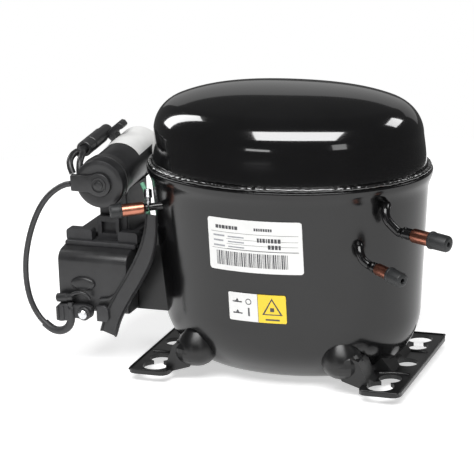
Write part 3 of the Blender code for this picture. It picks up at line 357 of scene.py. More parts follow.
def tube(name, points, radius, material, count=40, resolution=5, replaces=(), body=BODY):
    """A round tube or cord along a smooth route, and its length."""
    route, length = smooth_route(points, count)
    curve = bpy.data.curves.new(name, "CURVE")
    curve.dimensions = "3D"
    curve.bevel_depth = radius
    curve.bevel_resolution = resolution
    curve.use_fill_caps = True
    spline = curve.splines.new("POLY")
    spline.points.add(len(route) - 1)
    for knot, place in zip(spline.points, route):
        knot.co = (*place, 1.0)
    spline.use_smooth = True
    curve.materials.append(material)
    piece = bpy.data.objects.new(name, curve)
    bpy.context.scene.collection.objects.link(piece)
    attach(piece, body)
    if replaces:
        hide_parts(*replaces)
    return piece, length


# ---------------------------------------------------------------- the capacitor's cable
CABLE_ROUTE = [
    (-0.1426, -0.0470, 0.1371), (-0.1480, -0.0470, 0.1358), (-0.1545, -0.0470, 0.1322),
    (-0.1615, -0.0470, 0.1262), (-0.1680, -0.0470, 0.1175), (-0.1737, -0.0470, 0.1060),
    (-0.1783, -0.0470, 0.0925), (-0.1813, -0.0470, 0.0775), (-0.1816, -0.0472, 0.0620),
    (-0.1787, -0.0478, 0.0480), (-0.1722, -0.0488, 0.0368), (-0.1630, -0.0502, 0.0296),
    (-0.1555, -0.0515, 0.0285), (-0.1490, -0.0523, 0.0315), (-0.1458, -0.0525, 0.0375),
    (-0.1455, -0.0525, 0.0450), (-0.1455, -0.0525, 0.0510),
]
CABLE_RADIUS = 0.0021


def build_cable():
    cable, length = tube("cap_cable", CABLE_ROUTE, CABLE_RADIUS, JACKET, count=36,
                         replaces=["capacitor_cable"])
    sleeve = smooth_route(CABLE_ROUTE, 36)[0][27:36]
    tube("cable_sleeve", sleeve, 0.0029, MATT, count=16)


build_cable()


# ---------------------------------------------------------------- shell
SHELL_X, SHELL_Y = 0.002, 0.002
HALF_LENGTH, HALF_WIDTH = 0.0990, 0.0730
HEIGHT = 0.2045
SHEET = 0.0030
SIDES = 144
LIP_START_Z, LIP_Z = 0.1350, 0.1474
BOWL_RADIUS, BOWL_TAPER = 0.0500, 0.00575
LID_WALL_TOP_GROWTH, SKIRT_GROWTH = -0.0026, -0.0007
LID_SHOULDER, LID_CROWN, LID_EDGE_SLOPE = 0.0250, 0.0104, 0.40


def oval(growth, z, sides=SIDES):
    a, b = HALF_LENGTH + growth, HALF_WIDTH + growth
    spokes = (2 * math.pi * i / sides for i in range(sides))
    return [(SHELL_X + a * math.cos(t), SHELL_Y + b * math.sin(t), z) for t in spokes]


def wall_growth(z):
    return -BOWL_TAPER * (LIP_START_Z - z) / (LIP_START_Z - BOWL_RADIUS)


def bowl_rings(offset, steps):
    rings = []
    for i in range(steps + 1):
        turn = math.radians(90 * i / steps)
        reach = (BOWL_RADIUS + offset) * math.sin(turn)
        drop = (BOWL_RADIUS + offset) * math.cos(turn)
        rings.append(oval(-BOWL_TAPER - BOWL_RADIUS + reach, BOWL_RADIUS - drop))
    return rings


def build_lower_shell():
    outside = bowl_rings(0.0, 20)
    outside += [oval(wall_growth(z), z) for z in (0.065, 0.080, 0.095, 0.110, 0.122, 0.131)]
    flare = ((0.0001, 0.0), (0.0006, 0.0022), (0.0013, 0.0042), (0.0021, 0.0060), (0.0027, 0.0074),
             (0.0031, 0.0088), (0.0033, 0.0102), (0.0034, 0.0114), (0.0033, 0.0120), (0.0030, 0.0124))
    outside += [oval(growth, LIP_START_Z + rise) for growth, rise in flare]
    inside = [oval(0.0001, LIP_Z), oval(-0.0002, LIP_Z - 0.0004), oval(-0.0002, 0.1398), oval(-SHEET, 0.1378)]
    inside += bowl_rings(-SHEET, 12)[::-1]
    bm = bmesh.new()
    add_loft(bm, outside + inside)
    add_piece("lower_shell", finish_mesh("lower_shell", bm), ENAMEL, "black_paint",
              replaces=["lower_housing"],
              smooth=60.0)


def lid_rings(offset, shoulder_steps, shares):
    """Rings of the lid from the top of its wall, over the round shoulder, to the crown's centre."""
    centre_growth = LID_WALL_TOP_GROWTH - LID_SHOULDER
    edge_turn = math.atan(LID_EDGE_SLOPE)
    centre_z = HEIGHT - LID_CROWN - LID_SHOULDER * math.cos(edge_turn)
    rings = []
    for i in range(shoulder_steps + 1):
        turn = math.pi / 2 + (edge_turn - math.pi / 2) * i / shoulder_steps
        reach = (LID_SHOULDER + offset) * math.sin(turn)
        rings.append(oval(centre_growth + reach, centre_z + (LID_SHOULDER + offset) * math.cos(turn)))
    edge_growth = centre_growth + LID_SHOULDER * math.sin(edge_turn)
    a, b = HALF_LENGTH + edge_growth, HALF_WIDTH + edge_growth
    for share in shares:
        ring = []
        for i in range(SIDES):
            t = 2 * math.pi * i / SIDES
            reach = math.hypot(a * math.cos(t), b * math.sin(t))
            round_part = 2 - LID_EDGE_SLOPE * reach / (2 * LID_CROWN)
            drop = LID_CROWN * (round_part * share**2 + (1 - round_part) * share**4)
            ring.append((SHELL_X + a * share * math.cos(t), SHELL_Y + b * share * math.sin(t),
                         HEIGHT - drop + offset))
        rings.append(ring)
    return rings


def build_lid():
    skirt = 0.1404
    outside = [oval(SKIRT_GROWTH, skirt), oval(SKIRT_GROWTH, 0.1510)]
    for i in range(1, 5):
        share = i / 5
        outside.append(oval(SKIRT_GROWTH + (LID_WALL_TOP_GROWTH - SKIRT_GROWTH) * share**1.6,
                            0.1510 + 0.0190 * share))
    outside += lid_rings(0.0, 20, [1 - i / 20 for i in range(1, 20)])
    inside = lid_rings(-SHEET, 10, [1 - i / 8 for i in range(1, 8)])[::-1]
    inside += [oval(SKIRT_GROWTH - SHEET, 0.1510), oval(SKIRT_GROWTH - SHEET, skirt)]
    rings = outside + inside
    bm = bmesh.new()
    loops = [[bm.verts.new(point) for point in ring] for ring in rings]
    top = len(outside) - 1
    for k, lower in enumerate(loops):
        if k == top:
            continue
        upper = loops[(k + 1) % len(loops)]
        for i, vert in enumerate(lower):
            j = (i + 1) % SIDES
            bm.faces.new((vert, lower[j], upper[j], upper[i]))
    for k, lift in ((top, 0.0), (top + 1, -SHEET)):
        centre = bm.verts.new((SHELL_X, SHELL_Y, HEIGHT + lift))
        for i, vert in enumerate(loops[k]):
            bm.faces.new((vert, loops[k][(i + 1) % SIDES], centre))
    add_piece("upper_shell", finish_mesh("upper_shell", bm), LID_ENAMEL, "black_paint",
              replaces=["upper_housing"],
              smooth=60.0)


def build_weld():
    """The rippled weld bead in the groove where the lid drops into the body."""
    sides, steps = 560, 12
    rings = []
    for k in range(steps):
        turn = 2 * math.pi * k / steps
        ring = []
        for i in range(sides):
            t = 2 * math.pi * i / sides
            spot = Vector((34 * math.cos(t), 34 * math.sin(t), k * 0.5))
            ripple = 0.00012 * math.sin(97 * t) + 0.0004 * noise.noise(spot)
            grow = 0.0009 + (0.0016 + ripple) * math.cos(turn)
            lift = 0.1488 + (0.0016 + ripple) * math.sin(turn)
            a, b = HALF_LENGTH + grow, HALF_WIDTH + grow
            ring.append((SHELL_X + a * math.cos(t), SHELL_Y + b * math.sin(t), lift))
        rings.append(ring)
    bm = bmesh.new()
    add_loft(bm, rings, closed=True)
    add_piece("weld_seam", finish_mesh("weld_seam", bm), WELD, "black_paint", replaces=["weld_bead"],
              smooth=80.0)


build_lower_shell()
build_lid()
build_weld()


# ---------------------------------------------------------------- labels on the wall
def wall_point(x, z, lift):
    a = HALF_LENGTH + wall_growth(z) + lift
    b = HALF_WIDTH + wall_growth(z) + lift
    return (x, SHELL_Y - b * math.sqrt(1 - ((x - SHELL_X) / a) ** 2), z)


def add_decal(bm, columns, low_lift, high_lift):
    """A thin curved film on the wall. Each column is (x, its lowest z, its highest z)."""
    rows = []
    for lift in (low_lift, high_lift):
        rows.append([[bm.verts.new(wall_point(x, z, lift)) for z in (bottom, top)] for x, bottom,
                     top in columns])
    inner, outer = rows
    for i in range(len(columns) - 1):
        for row in rows:
            bm.faces.new((row[i][0], row[i + 1][0], row[i + 1][1], row[i][1]))
        for k in (0, 1):
            bm.faces.new((inner[i][k], inner[i + 1][k], outer[i + 1][k], outer[i][k]))
    for i in (0, -1):
        bm.faces.new((inner[i][0], inner[i][1], outer[i][1], outer[i][0]))


def box_columns(left, right, bottom, top, radius=0.0, count=24):
    """Columns of a rectangle, with round corners if a radius is given."""
    columns = []
    xs = [left + (right - left) * i / count for i in range(count + 1)]
    if radius:
        ends = [radius * (1 - math.cos(math.radians(90 * i / 5))) for i in range(6)]
        xs = sorted({round(x, 7) for x in xs if left + radius < x < right - radius}
                    | {round(left + e, 7) for e in ends} | {round(right - e, 7) for e in ends})
    for x in xs:
        side = max(0.0, radius - (x - left), radius - (right - x))
        drop = radius - math.sqrt(max(0.0, radius**2 - side**2)) if radius else 0.0
        columns.append((x, bottom + drop, top - drop))
    if radius:
        first, last = columns[0], columns[-1]
        columns[0] = (first[0], first[1] - 0.00005, first[2] + 0.00005)
        columns[-1] = (last[0], last[1] - 0.00005, last[2] + 0.00005)
    return columns


FILM = (0.0003, 0.0006)
PRINT = (0.0006, 0.00066)


def decal(name, shapes, material, slot, lifts, replaces=()):
    bm = bmesh.new()
    for columns in shapes:
        add_decal(bm, columns, *lifts)
    return add_piece(name, finish_mesh(name, bm), material, slot, replaces=replaces, smooth=60.0)


def bar(left, right, bottom, top, count=6):
    return box_columns(left, right, bottom, top, count=count)


def ring_columns(x, z, outer, inner, count=18):
    """Two arcs that together make a printed ring."""
    upper, lower = [], []
    for i in range(count + 1):
        u = -outer + 2 * outer * (0.5 - 0.5 * math.cos(math.pi * i / count))
        rise = math.sqrt(max(0.0, outer**2 - u**2)) + 0.00002
        hole = math.sqrt(max(0.0, inner**2 - u**2))
        upper.append((x + u, z + hole, z + rise))
        lower.append((x + u, z - rise, z - hole))
    return [upper, lower]


def build_labels():
    """The two labels: plain films with bars and simple shapes for print."""
    left, right, bottom, top = -0.0335, 0.0340, 0.0890, 0.1265
    decal("rating_film", [box_columns(left, right, bottom, top, 0.0020, 40)], PAPER, "label", FILM,
          ["rating_label"])
    dark, faint = [], []
    x = left + 0.006
    for i, width in enumerate((2.2, 1.6, 2.4, 1.8, 2.0, 1.4, 2.2)):
        dark.append(bar(x, x + width * MM, top - 0.0075, top - 0.0050, 2))
        x += (width + 0.5) * MM
    for i, width in enumerate((1.3, 1.3, 1.0, 1.3, 1.3, 1.3, 1.3, 1.1)):
        x = left + 0.0345 + sum((1.3, 1.3, 1.0, 1.3, 1.3, 1.3, 1.3, 1.1)[:i]) * MM + 0.0004 * i
        dark.append(bar(x, x + width * MM, top - 0.0072, top - 0.0052, 2))
    dark += [bar(left + 0.0025, right - 0.0025, z, z + 0.00022, 24) for z in (top - 0.0100, bottom + 0.0156)]
    for row in range(3):
        z = top - 0.0132 - 0.0036 * row
        faint.append(bar(left + 0.0040, left + 0.0125 - 0.001 * (row % 2), z, z + 0.0012, 4))
        faint.append(bar(left + 0.0150, left + 0.0270, z, z + 0.0009, 4))
        dark.append(bar(left + 0.0140, right - 0.0030, z - 0.0012, z - 0.0010, 20))
    for row, widths in enumerate(((1.4, 1.4, 1.8, 0.9, 1.5, 1.8, 1.8, 2.0), (1.9, 1.9, 1.9, 1.5))):
        x = left + (0.0365 if row == 0 else 0.0440)
        for width in widths:
            dark.append(bar(x, x + width * MM, top - 0.0152 - 0.0046 * row, top - 0.0122 - 0.0046 * row, 2))
            x += (width + 0.55) * MM
    x = left + 0.0058
    for i in range(46):
        wide = (0.35, 0.8, 0.35, 0.5, 1.0)[i * 7 % 5] * MM
        dark.append(bar(x, x + wide, bottom + 0.0038, bottom + 0.0140, 1))
        x += wide + (0.4, 0.7, 0.5)[i * 5 % 3] * MM
    decal("rating_print", dark, INK, "label", PRINT)
    decal("rating_lines", faint, FAINT_INK, "label", PRINT)

    left, right, bottom, top = -0.0205, 0.0210, 0.0530, 0.0735
    decal("caution_film", [box_columns(left, right, bottom, top, 0.0012, 30)], CAUTION, "caution_label", FILM,
          ["caution_label"])
    marks = []
    for z in (top - 0.0070, bottom + 0.0052):
        marks.append(bar(left + 0.0030, left + 0.0100, z, z + 0.0009, 4))
        marks.append([(left + 0.0052, z + 0.0010, z + 0.0011), (left + 0.0064, z + 0.0010, z + 0.0030),
                      (left + 0.0076, z + 0.0010, z + 0.0011)])
    marks += ring_columns(left + 0.0148, top - 0.0060, 0.0022, 0.0016)
    marks.append(bar(left + 0.0142, left + 0.0154, bottom + 0.0040, bottom + 0.0100, 2))
    marks.append(bar(0.0009, 0.0012, bottom + 0.0004, top - 0.0004, 1))
    middle, base, high = 0.0112, bottom + 0.0058, top - 0.0022
    half = 0.0072
    thick = 0.0008
    outer = [(middle - half, base, base + 0.0001), (middle, base, high), (middle + half, base, base + 0.0001)]
    decal("caution_triangle", [outer], INK, "caution_label", PRINT)
    inner = [(middle - half + 2.2 * thick, base + thick, base + thick + 0.0001),
             (middle, base + thick, high - 2.2 * thick),
             (middle + half - 2.2 * thick, base + thick, base + thick + 0.0001)]
    decal("caution_field", [inner], CAUTION, "caution_label", (0.00066, 0.0007))
    mark = [bar(middle - 0.0014, middle + 0.0014, base + 0.0026, base + 0.0054, 2)]
    decal("caution_mark", mark, INK, "caution_label", (0.0007, 0.00076))
    marks.append(bar(middle - 0.0050, middle + 0.0050, bottom + 0.0018, bottom + 0.0030, 4))
    decal("caution_print", marks, INK, "caution_label", PRINT)


build_labels()


# ---------------------------------------------------------------- feet
def build_feet():
    """Rolled rims and pressed ridges on the two mounting strips."""
    for side, tag in ((1, "right"), (-1, "left")):
        node = f"base_plate_{tag}"
        frame["nodes"][node].data.materials.clear()
        frame["nodes"][node].data.materials.append(FOOT_ENAMEL)
        z = 0.0090
        rim = [(0.0722, -0.0625), (0.0960, -0.0627), (0.0981, -0.0605), (0.0984, -0.040), (0.0984, 0.0),
               (0.0984, 0.040), (0.0981, 0.0605), (0.0960, 0.0627), (0.0722, 0.0625)]
        tube(f"foot_rim_{tag}", [(side * x, y, z) for x, y in rim], 0.0008, FOOT_ENAMEL,
             count=90)
        for row in (-1, 1):
            ridge = [(0.0745, 0.0262), (0.0775, 0.0255), (0.0810, 0.0240), (0.0850, 0.0232), (0.0900, 0.0232),
                     (0.0955, 0.0240)]
            tube(f"foot_ridge_{tag}_{'front' if row < 0 else 'rear'}",
                 [(side * x, row * y, z - 0.0002) for x, y in ridge], 0.0012, FOOT_ENAMEL,
                 count=24)


build_feet()


# ---------------------------------------------------------------- line stubs
LINES = {
    "suction": {
        "route": [(0.0788, -0.0340, 0.1330), (0.0850, -0.0392, 0.1345), (0.0858, -0.0444, 0.1328),
                  (0.0876, -0.0472, 0.1268), (0.0951, -0.0473, 0.1191)],
        "axis": (0.94, -0.35, -0.05), "tube": 0.0031, "socket": 0.0042, "copper": 0.0048, "plug": 0.0057,
        "socket_at": 0.0040, "copper_at": 0.0120, "plug_at": 0.0270, "plug_length": 0.0145, "collar_at": 0.30,
    },
    "discharge": {
        "route": [(0.0640, -0.0450, 0.1085), (0.0690, -0.0514, 0.1088), (0.0706, -0.0548, 0.1052),
                  (0.0728, -0.0560, 0.1005), (0.0773, -0.0563, 0.0970)],
        "axis": (0.84, -0.53, -0.10), "tube": 0.0030, "socket": 0.0036, "copper": 0.0041, "plug": 0.0051,
        "socket_at": 0.0032, "copper_at": 0.0080, "plug_at": 0.0210, "plug_length": 0.0130, "collar_at": 0.30,
    },
    "process": {
        "route": [(-0.0690, -0.0370, 0.1234), (-0.0770, -0.0396, 0.1234), (-0.0830, -0.0418, 0.1229)],
        "axis": (-0.872, -0.488, -0.052), "tube": 0.0027, "socket": 0.0030, "copper": 0.0044, "plug": 0.0051,
        "socket_at": 0.0030, "copper_at": 0.0060, "plug_at": 0.0222, "plug_length": 0.0085, "collar_at": 0.5,
    },
}


def build_line(kind, spec):
    axis = Vector(spec["axis"]).normalized()
    last = Vector(spec["route"][-1])
    route = spec["route"] + [tuple(last + axis * spec["socket_at"])]
    tube(f"{kind}_pipe", route, spec["tube"], ENAMEL, count=40, resolution=6,
         replaces=[f"{kind}_tube"])
    shut = 0.0060 if spec["plug_length"] > 0.01 else 0.0045
    start, swell, end = spec["socket_at"] + 0.00075, spec["copper_at"], spec["plug_at"] + shut
    socket, wide = spec["socket"], spec["copper"]
    turned(f"{kind}_socket", last, axis,
           [(start, socket - 0.0006), (start + 0.0005, socket), (start + 0.0016, socket),
            (start + 0.0020, socket - 0.0003),
            (swell - 0.0002, socket - 0.0003), (swell - 0.0002, socket - 0.0010)], ENAMEL, "black_paint",
           replaces=[f"{kind}_connector"])
    turned(f"{kind}_copper", last, axis,
           [(swell, socket - 0.0005), (swell + 0.0002, socket), (swell + 0.0012, wide), (end, wide),
            (end, wide - 0.0009),
            (swell + 0.002, wide - 0.0009)], COPPER, "copper")
    hood, tip = spec["plug"], spec["plug_at"] + spec["plug_length"]
    first = spec["plug_at"]
    profile = [(first, wide + 0.0003), (first, hood + 0.0002), (first + 0.0004, hood + 0.0004),
               (first + 0.0014, hood + 0.0004),
               (first + 0.0018, hood), (tip - 0.0016, hood - 0.0001), (tip - 0.0006, hood - 0.0006),
               (tip, hood - 0.0018),
               (tip, 0.0022), (tip - 0.0006, 0.0016), (end - 0.0015, 0.0014), (end - 0.0015, wide - 0.0012),
               (end + 0.0003, wide - 0.0012), (end + 0.0003, wide + 0.0003)]
    turned(f"{kind}_cap", last, axis, profile, RUBBER, "rubber", closed=True, body=f"{kind}_cap",
           replaces=[f"{kind}_plug"])


for kind, spec in LINES.items():
    build_line(kind, spec)


# ---------------------------------------------------------------- capacitor
CAP_FRONT = -0.0475
CAP_RADIUS = CAN_RADIUS + 0.0013


def build_capacitor():
    """The run capacitor: its can, the cover on the front end, and the boss where the cable leaves."""
    length = CAN_BACK - CAN_FRONT
    r = CAN_RADIUS
    turned("cap_can", (CAN_X, CAN_FRONT, CAN_Z), (0, 1, 0),
           [(0.0, r - 0.0015), (0.0006, r - 0.0004), (0.0015, r), (length - 0.0025, r),
            (length - 0.0008, r - 0.0007),
            (length, r - 0.0022), (length - 0.0008, r - 0.0035), (length - 0.0008, 0.002)], SATIN,
            "black_plastic",
           sides=72, on_can=True, replaces=["capacitor_can"])
    bm = bmesh.new()
    add_turned(bm, (CAN_X, CAP_FRONT, CAN_Z), (0, 1, 0),
               [(0.0, 0.0125), (-0.0002, 0.0140), (0.0, CAP_RADIUS - 0.0018), (0.0006, CAP_RADIUS - 0.0006),
                (0.0018, CAP_RADIUS), (0.0090, CAP_RADIUS), (0.0092, CAP_RADIUS + 0.0004),
                (0.0104, CAP_RADIUS + 0.0004),
                (0.0106, CAP_RADIUS), (0.0160, CAP_RADIUS), (0.0160, r + 0.0003), (0.0030, r + 0.0003),
                (0.0030, 0.0040)],
               sides=72)
    bmesh.ops.transform(bm, matrix=CAN_TILT, verts=bm.verts)
    add_piece("cap_cover", finish_mesh("cap_cover", bm), SATIN, "black_plastic", replaces=["capacitor_cap"])
    bulb = arc((CAN_X + 0.0005, CAN_Z), 0.0086, -115, 115, 24)
    boss = bulb + [(CAN_X - 0.0075, CAN_Z + 0.0066), (CAN_X - 0.0200, CAN_Z + 0.0064),
                   (CAN_X - 0.0206, CAN_Z + 0.0058),
                   (CAN_X - 0.0206, CAN_Z - 0.0046), (CAN_X - 0.0200, CAN_Z - 0.0052),
                   (CAN_X - 0.0075, CAN_Z - 0.0056)]
    prism("cap_boss", boss, CAP_FRONT - 0.0024, CAP_FRONT + 0.0020, "XZ", SATIN, "black_plastic", 0.0008,
          on_can=True)
    turned("cap_ring", (CAN_X + 0.0005, CAP_FRONT - 0.0022, CAN_Z), (0, -1, 0),
           [(0.0, 0.0046), (0.0, 0.0058), (0.0008, 0.0056), (0.0010, 0.0052), (0.0008, 0.0047)], SATIN,
           "black_plastic",
           closed=True, on_can=True)
    turned("cap_nub", (CAN_X + 0.0005, CAP_FRONT - 0.0022, CAN_Z), (0, -1, 0),
           [(0.0, 0.0034), (0.0010, 0.0032), (0.0014, 0.0026), (0.0015, 0.0012)], SATIN, "black_plastic",
           on_can=True)


def build_clip():
    """The clip's barrel beside the can, with its two bent prongs, and the hooked tab behind it."""
    x, z = -0.1417, 0.1546
    turned("clip_barrel", (x, -0.0200, z), (0, 1, 0),
           [(0.0, 0.0036), (0.0, 0.0050), (0.0006, 0.0056), (0.0100, 0.0056), (0.0104, 0.0051),
            (0.0120, 0.0051),
            (0.0124, 0.0056), (0.0340, 0.0056), (0.0344, 0.0050), (0.0464, 0.0050), (0.0470, 0.0044),
            (0.0470, 0.0036)],
           SATIN, "black_plastic", on_can=True, closed=True)
    turned("clip_pin", (x, -0.0300, z), (0, 1, 0), [(0.0, 0.0020), (0.0006, 0.0031), (0.0530, 0.0031)], SATIN,
           "black_plastic", on_can=True, replaces=["strap_latch"])
    for lean, tag in ((-1, "left"), (1, "right")):
        route = [(x + 0.0020 * lean, -0.0280, z + 0.0006), (x + 0.0034 * lean, -0.0330, z - 0.0004),
                 (x + 0.0038 * lean, -0.0380, z - 0.0030), (x + 0.0034 * lean + 0.0008, -0.0410, z - 0.0070),
                 (x + 0.0026 * lean + 0.0020, -0.0425, z - 0.0110)]
        tube(f"clip_prong_{tag}", [CAN_TILT @ Vector(p) for p in route], 0.0024, SATIN,
             count=24)
    hook = [(-0.1342, 0.1490), (-0.1386, 0.1534), (-0.1383, 0.1556), (-0.1340, 0.1602), (-0.1292, 0.1640),
            (-0.1268, 0.1636), (-0.1250, 0.1610), (-0.1256, 0.1596), (-0.1306, 0.1572), (-0.1318, 0.1545),
            (-0.1306, 0.1518)]
    prism("strap_tab", hook, 0.0165, 0.0270, "XZ", SATIN, "black_plastic", 0.0008, on_can=True)
    inner, outer = CAN_RADIUS + 0.0003, CAN_RADIUS + 0.0016
    outline = arc((CAN_X, CAN_Z), outer, 134, 386, 72) + arc((CAN_X, CAN_Z), inner, 386, 134, 72)
    prism("can_band", outline, 0.0168, 0.0268, "XZ", SATIN, "black_plastic", 0.0003, on_can=True,
          replaces=["capacitor_strap"])
    low, high = CAN_RADIUS + 0.0004, CAN_RADIUS + 0.0006
    outline = arc((CAN_X, CAN_Z), high, 130, 30, 40) + arc((CAN_X, CAN_Z), low, 30, 130, 40)
    prism("can_film", outline, -0.0030, 0.0392, "XZ", STICKER, "label", 0.0, on_can=True,
          replaces=["capacitor_sticker"])


build_capacitor()
build_clip()


# ---------------------------------------------------------------- relay box
BOX_LEFT, BOX_BACK = -0.1560, 0.0320
BOX_BOTTOM, BOX_TOP = 0.0420, 0.0920


def build_relay_cover():
    """The snap-on cover of the relay box, with the oval swelling on its front."""
    front, low = -0.0480, 0.0430
    corner = arc((-0.0400, 0.0795), 0.0080, 180, 100, 12)
    side = [(-0.0288, low), (front + 0.0045, low)] + arc((front + 0.0040, low + 0.0040), 0.0040, 260, 185,
                                                         5) + corner \
        + [(-0.0288, 0.0896)]
    bm = bmesh.new()
    add_prism(bm, side, BOX_LEFT, -0.1030, "YZ", 0.0012, 4)
    add_piece("box_cover", finish_mesh("box_cover", bm), SATIN, "black_plastic", replaces=["relay_cover"])
    bulge = []
    for depth, grow in ((0.0, 1.0), (0.0012, 0.98), (0.0021, 0.90), (0.0026, 0.75), (0.0028, 0.5)):
        bulge.append([(-0.1368 + 0.0095 * grow * math.cos(t), front + 0.0004 - depth,
                       0.0643 + 0.0052 * grow * math.sin(t))
                      for t in (2 * math.pi * i / 48 for i in range(48))])
    bm = bmesh.new()
    add_loft(bm, bulge)
    add_piece("box_bulge", finish_mesh("box_bulge", bm), SATIN, "black_plastic", smooth=50.0)


def build_strap():
    """The cover's spring strap, arched to the right and flanged along both edges."""
    middle = [(-0.0815, 0.0, 0.1190), (-0.0832, 0.0, 0.1040), (-0.0880, 0.0, 0.0880), (-0.0965, 0.0, 0.0720),
              (-0.1065, 0.0, 0.0560), (-0.1140, 0.0, 0.0420), (-0.1185, 0.0, 0.0290)]
    route, _ = smooth_route(middle, 48)
    rings = []
    profile = ((-1.0, 0.0), (-1.0, -0.0022), (-0.93, -0.0028), (-0.82, -0.0022), (-0.7, -0.0012),
               (0.7, -0.0012),
               (0.82, -0.0022), (0.93, -0.0028), (1.0, -0.0022), (1.0, 0.0))
    for i, place in enumerate(route):
        ahead = route[min(i + 1, len(route) - 1)] - route[max(i - 1, 0)]
        across = Vector((-ahead.z, 0.0, ahead.x)).normalized()
        half = 0.0040 + 0.0024 * min(1.0, 3.0 * i / len(route))
        rings.append([place - across * half * share + Vector((0, -0.0484 + depth, 0)) for share,
                      depth in profile])
    bm = bmesh.new()
    add_loft(bm, rings)
    add_piece("spring_strap", finish_mesh("spring_strap", bm), SATIN, "black_plastic",
              replaces=["cover_strap"])


def build_clamp():
    """The cord grip: a jaw, a screw boss, a ribbed saddle and the loop that holds the cable."""
    jaw = [(-0.1565, 0.0372), (-0.1530, 0.0366), (-0.1448, 0.0380), (-0.1430, 0.0410), (-0.1430, 0.0478),
           (-0.1480, 0.0500), (-0.1545, 0.0492), (-0.1565, 0.0470)]
    prism("clamp_jaw", jaw, -0.0545, -0.0484, "XZ", MATT, "black_plastic", 0.0008, replaces=["cable_clamp"])
    turned("clamp_boss", (-0.1345, -0.0562, 0.0440), (0, 1, 0),
           [(0.0, 0.0042), (0.0006, 0.0049), (0.0078, 0.0052)], MATT, "black_plastic")
    bridge = [(-0.1440, 0.0395), (-0.1345, 0.0388), (-0.1300, 0.0410), (-0.1296, 0.0480), (-0.1340, 0.0496),
              (-0.1440, 0.0490)]
    prism("clamp_bridge", bridge, -0.0530, -0.0484, "XZ", MATT, "black_plastic", 0.0006)
    turned("clamp_roll", (-0.1560, -0.0520, 0.0535), (1, 0, 0.12),
           [(0.0, 0.0024), (0.0006, 0.0031), (0.0080, 0.0031), (0.0086, 0.0026), (0.0120, 0.0026),
            (0.0126, 0.0020)],
           SATIN, "black_plastic")
    loop = [(-0.1455, -0.0520, 0.0550), (-0.1420, -0.0535, 0.0580), (-0.1370, -0.0535, 0.0592),
            (-0.1325, -0.0525, 0.0572),
            (-0.1312, -0.0510, 0.0540)]
    tube("clamp_loop", loop, 0.0013, SATIN, count=30)
    for i in range(3):
        rib = [(-0.1552 + 0.0040 * i, 0.0385), (-0.1540 + 0.0040 * i, 0.0385), (-0.1540 + 0.0040 * i, 0.0480),
               (-0.1552 + 0.0040 * i, 0.0480)]
        prism(f"clamp_rib_{i + 1}", rib, -0.0554, -0.0540, "XZ", MATT, "black_plastic", 0.0003)
    stop = [(-0.1262, 0.0380), (-0.1190, 0.0378), (-0.1170, 0.0400), (-0.1172, 0.0475), (-0.1200, 0.0500),
            (-0.1262, 0.0492)]
    prism("cover_stop", stop, -0.0520, -0.0480, "XZ", MATT, "black_plastic", 0.0008)
    tab = [(-0.1240, 0.0520), (-0.1160, 0.0535), (-0.1110, 0.0575), (-0.1125, 0.0590), (-0.1175, 0.0558),
           (-0.1245, 0.0545)]
    prism("cover_tab", tab, -0.0500, -0.0478, "XZ", SATIN, "black_plastic", 0.0006)


def build_box_trim():
    """Seams, ledges and ribs that the plain relay box base has on its front and top."""
    ledge = rounded_rectangle(BOX_LEFT + 0.0010, BOX_TOP - 0.0040, -0.1010, BOX_TOP - 0.0002, 0.0015)
    prism("box_ledge", ledge, -0.0360, -0.0290, "XZ", MATT, "black_plastic", 0.0008)
    turned("earth_tag", (-0.0958, -0.0200, 0.1290), (0.15, -0.4, -1),
           [(0.0, 0.0016), (0.0006, 0.0028), (0.0060, 0.0030), (0.0066, 0.0022), (0.0120, 0.0020),
            (0.0124, 0.0010)],
           ZINC, "zinc", sides=24)
    for i in range(5):
        low = 0.0480 + 0.0085 * i
        rib = rounded_rectangle(BOX_BACK - 0.0520, low, BOX_BACK - 0.0060, low + 0.0016, 0.0006, 3)
        prism(f"box_side_rib_{i + 1}", rib, BOX_LEFT - 0.0008, BOX_LEFT + 0.0004, "YZ", MATT,
              "black_plastic", 0.0003)
    for i in range(6):
        left = BOX_LEFT + 0.0060 + 0.0070 * i
        rib = rounded_rectangle(left, BOX_BOTTOM + 0.0060, left + 0.0016, BOX_TOP - 0.0060, 0.0006, 3)
        prism(f"box_back_rib_{i + 1}", rib, BOX_BACK - 0.0004, BOX_BACK + 0.0008, "XZ", MATT,
              "black_plastic", 0.0003)


build_relay_cover()
build_strap()
build_clamp()
build_box_trim()


# ---------------------------------------------------------------- finishes of the carried-over parts
FINISHES = {
    "black_paint": FOOT_ENAMEL, "black_plastic": MATT, "grey_plastic": GREY, "copper": COPPER,
    "rubber": RUBBER,
    "cable": JACKET, "label": STICKER, "caution_label": CAUTION, "green_wire": GREEN, "zinc": ZINC,
    "steel": STEEL,
    "cast_iron": IRON, "lamination": LAMINATION, "winding": WINDING, "aluminium": ALUMINIUM,
}
for entry in frame["record"]["subparts"]:
    mesh = frame["nodes"][entry["node"]].data
    mesh.materials.clear()
    mesh.materials.append(FINISHES[entry["material_slot"]])


# ---------------------------------------------------------------- floor and light
def build_bosses():
    """The pressed bosses where the foot brackets run up the shell's corners."""
    profile = [(0.0, 0.0)] + [(0.0125 * (1 - math.cos(math.radians(t))), 0.0142 * math.sin(math.radians(t)))
                              for t in range(15, 91, 15)] + [(0.0190, 0.0132), (0.0260, 0.0085),
                                                             (0.0290, 0.0)]
    for side in (-1, 1):
        for row in (-1, 1):
            turned(f"foot_boss_{'left' if side < 0 else 'right'}_{'front' if row < 0 else 'rear'}",
                   (side * 0.0545, row * 0.0455, 0.0098), (side * -0.10, row * -0.08, 1), profile,
                   FOOT_ENAMEL,
                   "black_paint", sides=40)


build_bosses()


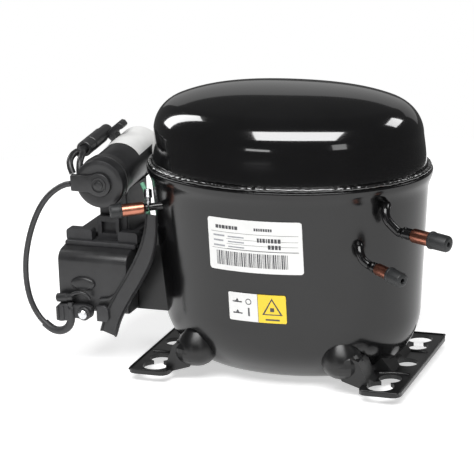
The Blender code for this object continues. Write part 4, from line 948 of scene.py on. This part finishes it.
def build_floor():
    """The pale sheet that the compressor stands on."""
    bm = bmesh.new()
    bmesh.ops.create_circle(bm, cap_ends=True, segments=96, radius=0.66)
    mesh = finish_mesh("floor", bm)
    floor = bpy.data.objects.new("floor", mesh)
    floor.location = (0, 0, -0.0004)
    bpy.context.scene.collection.objects.link(floor)
    mesh.materials.append(surface("floor_paper", (0.80, 0.80, 0.80), 0.8, shade=0.01, grain=3.0,
                                  Emission_Color=(1, 1, 1, 1), Emission_Strength=0.55))


# name, azimuth and elevation in degrees, distance and size in metres, power in watts
SOFTBOXES = (
    ("front_softbox", 8, 50, 1.4, (1.25, 0.66), 24.0),
    ("left_softbox", -101, 30, 1.4, (0.35, 0.95), 7.0),
    ("right_softbox", 122, 40, 1.4, (0.50, 0.36), 3.6),
    ("front_low_panel", -16, 5, 1.6, (0.42, 0.16), 0.7),
    ("right_low_strip", 38, 14, 1.6, (0.30, 0.42), 0.8),
    ("back_panel", -172, 20, 2.2, (3.0, 1.10), 2.6),
)


def add_light(name, azimuth, elevation, distance, size, power):
    """A soft panel that faces the compressor from a direction, at a distance."""
    a, e = math.radians(azimuth), math.radians(elevation)
    away = Vector((math.sin(a) * math.cos(e), -math.cos(a) * math.cos(e), math.sin(e)))
    data = bpy.data.lights.new(name, "AREA")
    data.shape = "RECTANGLE"
    data.size, data.size_y = size
    data.energy = power
    light = bpy.data.objects.new(name, data)
    light.rotation_euler = away.to_track_quat("Z", "Y").to_euler()
    light.location = Vector((0.0, 0.0, 0.12)) + away * distance
    bpy.context.scene.collection.objects.link(light)


def build_light():
    """A white backdrop, a dim surround for reflections, and the soft panels."""
    world = bpy.data.worlds.new("studio")
    bpy.context.scene.world = world
    world.use_nodes = True
    nodes, links = world.node_tree.nodes, world.node_tree.links
    sky = nodes["Background"]
    sky.inputs["Color"].default_value = (1.0, 1.0, 1.0, 1.0)
    sky.inputs["Strength"].default_value = 1.0
    dim = nodes.new("ShaderNodeBackground")
    dim.inputs["Color"].default_value = (1.0, 1.0, 1.0, 1.0)
    dim.inputs["Strength"].default_value = 0.07
    ray = nodes.new("ShaderNodeLightPath")
    mix = nodes.new("ShaderNodeMixShader")
    links.new(ray.outputs["Is Camera Ray"], mix.inputs["Fac"])
    links.new(dim.outputs["Background"], mix.inputs[1])
    links.new(sky.outputs["Background"], mix.inputs[2])
    links.new(mix.outputs["Shader"], nodes["World Output"].inputs["Surface"])
    for panel in SOFTBOXES:
        add_light(*panel)


build_floor()
build_light()
bpy.context.scene.view_settings.view_transform = "Standard"
